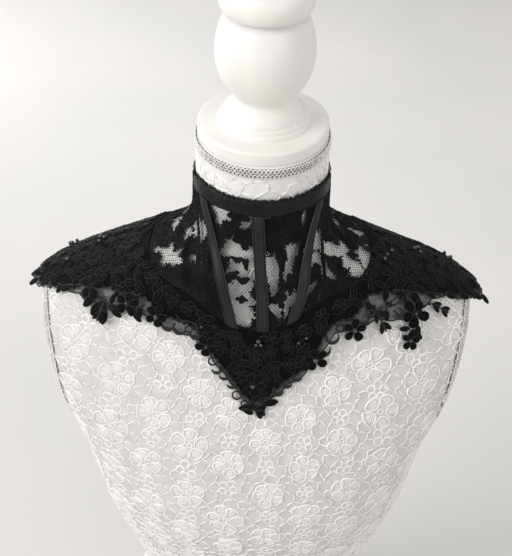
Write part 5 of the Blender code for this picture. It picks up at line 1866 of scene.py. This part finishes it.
def floor():
    """A dished sheet, raised by a shallow curve far away so that no edge shows."""
    n = 61
    x = np.linspace(-FLOOR_HALF, FLOOR_HALF, n)[:, None]
    y = np.linspace(-FLOOR_HALF, FLOOR_HALF, n)[None, :]
    z = FLOOR_RISE * np.maximum(np.hypot(x, y) - FLOOR_FLAT, 0) ** 2
    p = np.stack([x + 0 * y, y + 0 * x, z], -1) / MM + CENTRE
    idx = np.arange(n * n).reshape(n, n)
    quads = np.stack([idx[:-1, :-1], idx[1:, :-1], idx[1:, 1:], idx[:-1, 1:]], -1)
    mat, spot = new_finish("matt_plaster")
    end_finish(mat, {"Roughness": 0.9, "Specular IOR Level": 0.1},
               Base_Color=mottled(mat, spot, 1.4, 4.0, "#d7d6d4", "#dddbd9"))
    flat = p.reshape(-1, 3)[:, :2] * MM
    return make_piece("pale_floor", [chunk(p, quads, np.zeros((0, 3)), flat)], [mat])


floor()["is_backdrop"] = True


# %% Light
DAYLIGHT = (1.0, 0.99, 0.98)
# Each row: name, place and target in metres, width, watts, spread in degrees.
LIGHTS = [
    ("window_left", (-2.2, -1.2, 1.9), (0.0, 0.0, 1.0), 1.6, 12.4, 80.0),
    ("window_far", (-2.6, 1.9, 1.4), (-0.2, 1.8, 0.0), 1.6, 24.0, 100.0),
    ("fill_front", (1.6, -2.2, 1.3), (0.0, 0.0, 0.65), 1.8, 3.4, 70.0),
]


def area_light(name, place, target, wide, watts, spread_angle):
    """A soft light that looks from its place towards its target."""
    data = bpy.data.lights.new(name, "AREA")
    data.shape, data.size, data.size_y = "RECTANGLE", wide, wide * 0.8
    data.energy, data.color, data.spread = watts, DAYLIGHT, math.radians(spread_angle)
    obj = bpy.data.objects.new(name, data)
    bpy.context.scene.collection.objects.link(obj)
    gaze = np.array(target) - np.array(place)
    z = -gaze / np.linalg.norm(gaze)
    x = np.cross([0, 0, 1.0], z)
    x /= np.linalg.norm(x)
    y = np.cross(z, x)
    obj.matrix_world = Matrix([(*row, p) for row, p in zip(np.stack([x, y, z], 1), place)]
                              + [(0, 0, 0, 1)])


for row in LIGHTS:
    area_light(*row)
world = bpy.context.scene.world or bpy.data.worlds.new("sky")
bpy.context.scene.world = world
world.use_nodes = True
sky = world.node_tree.nodes.get("Background") or world.node_tree.nodes.new("ShaderNodeBackground")
sky.inputs["Color"].default_value = (1.0, 0.992, 0.982, 1.0)
sky.inputs["Strength"].default_value = 0.70
bpy.context.scene.view_settings.view_transform = "Standard"
print("lights", [row[0] for row in LIGHTS])

# %% Camera
PHOTO_HIGH, FOCAL_PIXELS, SENSOR = 556, 900.0, 36.0      # the sensor's long side, in mm
CAMERA_PLACE, CAMERA_DOWN, CAMERA_ROLL = (-0.0016, -0.63975, 1.0011), 34.72, 1.5
cam_data = bpy.data.cameras.new("camera")
cam_data.sensor_width = SENSOR
cam_data.lens = FOCAL_PIXELS / PHOTO_HIGH * SENSOR
cam_data.clip_start, cam_data.clip_end = 0.05, 60.0
camera = bpy.data.objects.new("camera", cam_data)
bpy.context.scene.collection.objects.link(camera)
camera.matrix_world = (Matrix.Translation(CAMERA_PLACE)
                       @ Matrix.Rotation(math.radians(90 - CAMERA_DOWN), 4, "X")
                       @ Matrix.Rotation(math.radians(CAMERA_ROLL), 4, "Z"))
bpy.context.scene.camera = camera
print("camera at", CAMERA_PLACE, "lens", round(cam_data.lens, 2))

# %% [markdown]
# ## Size
#
# The dressed object has to keep the size of the model that it was built round, so the box
# round all that renders, with the floor left out, is measured at the end.

# %% Box of the dressed object
low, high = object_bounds()
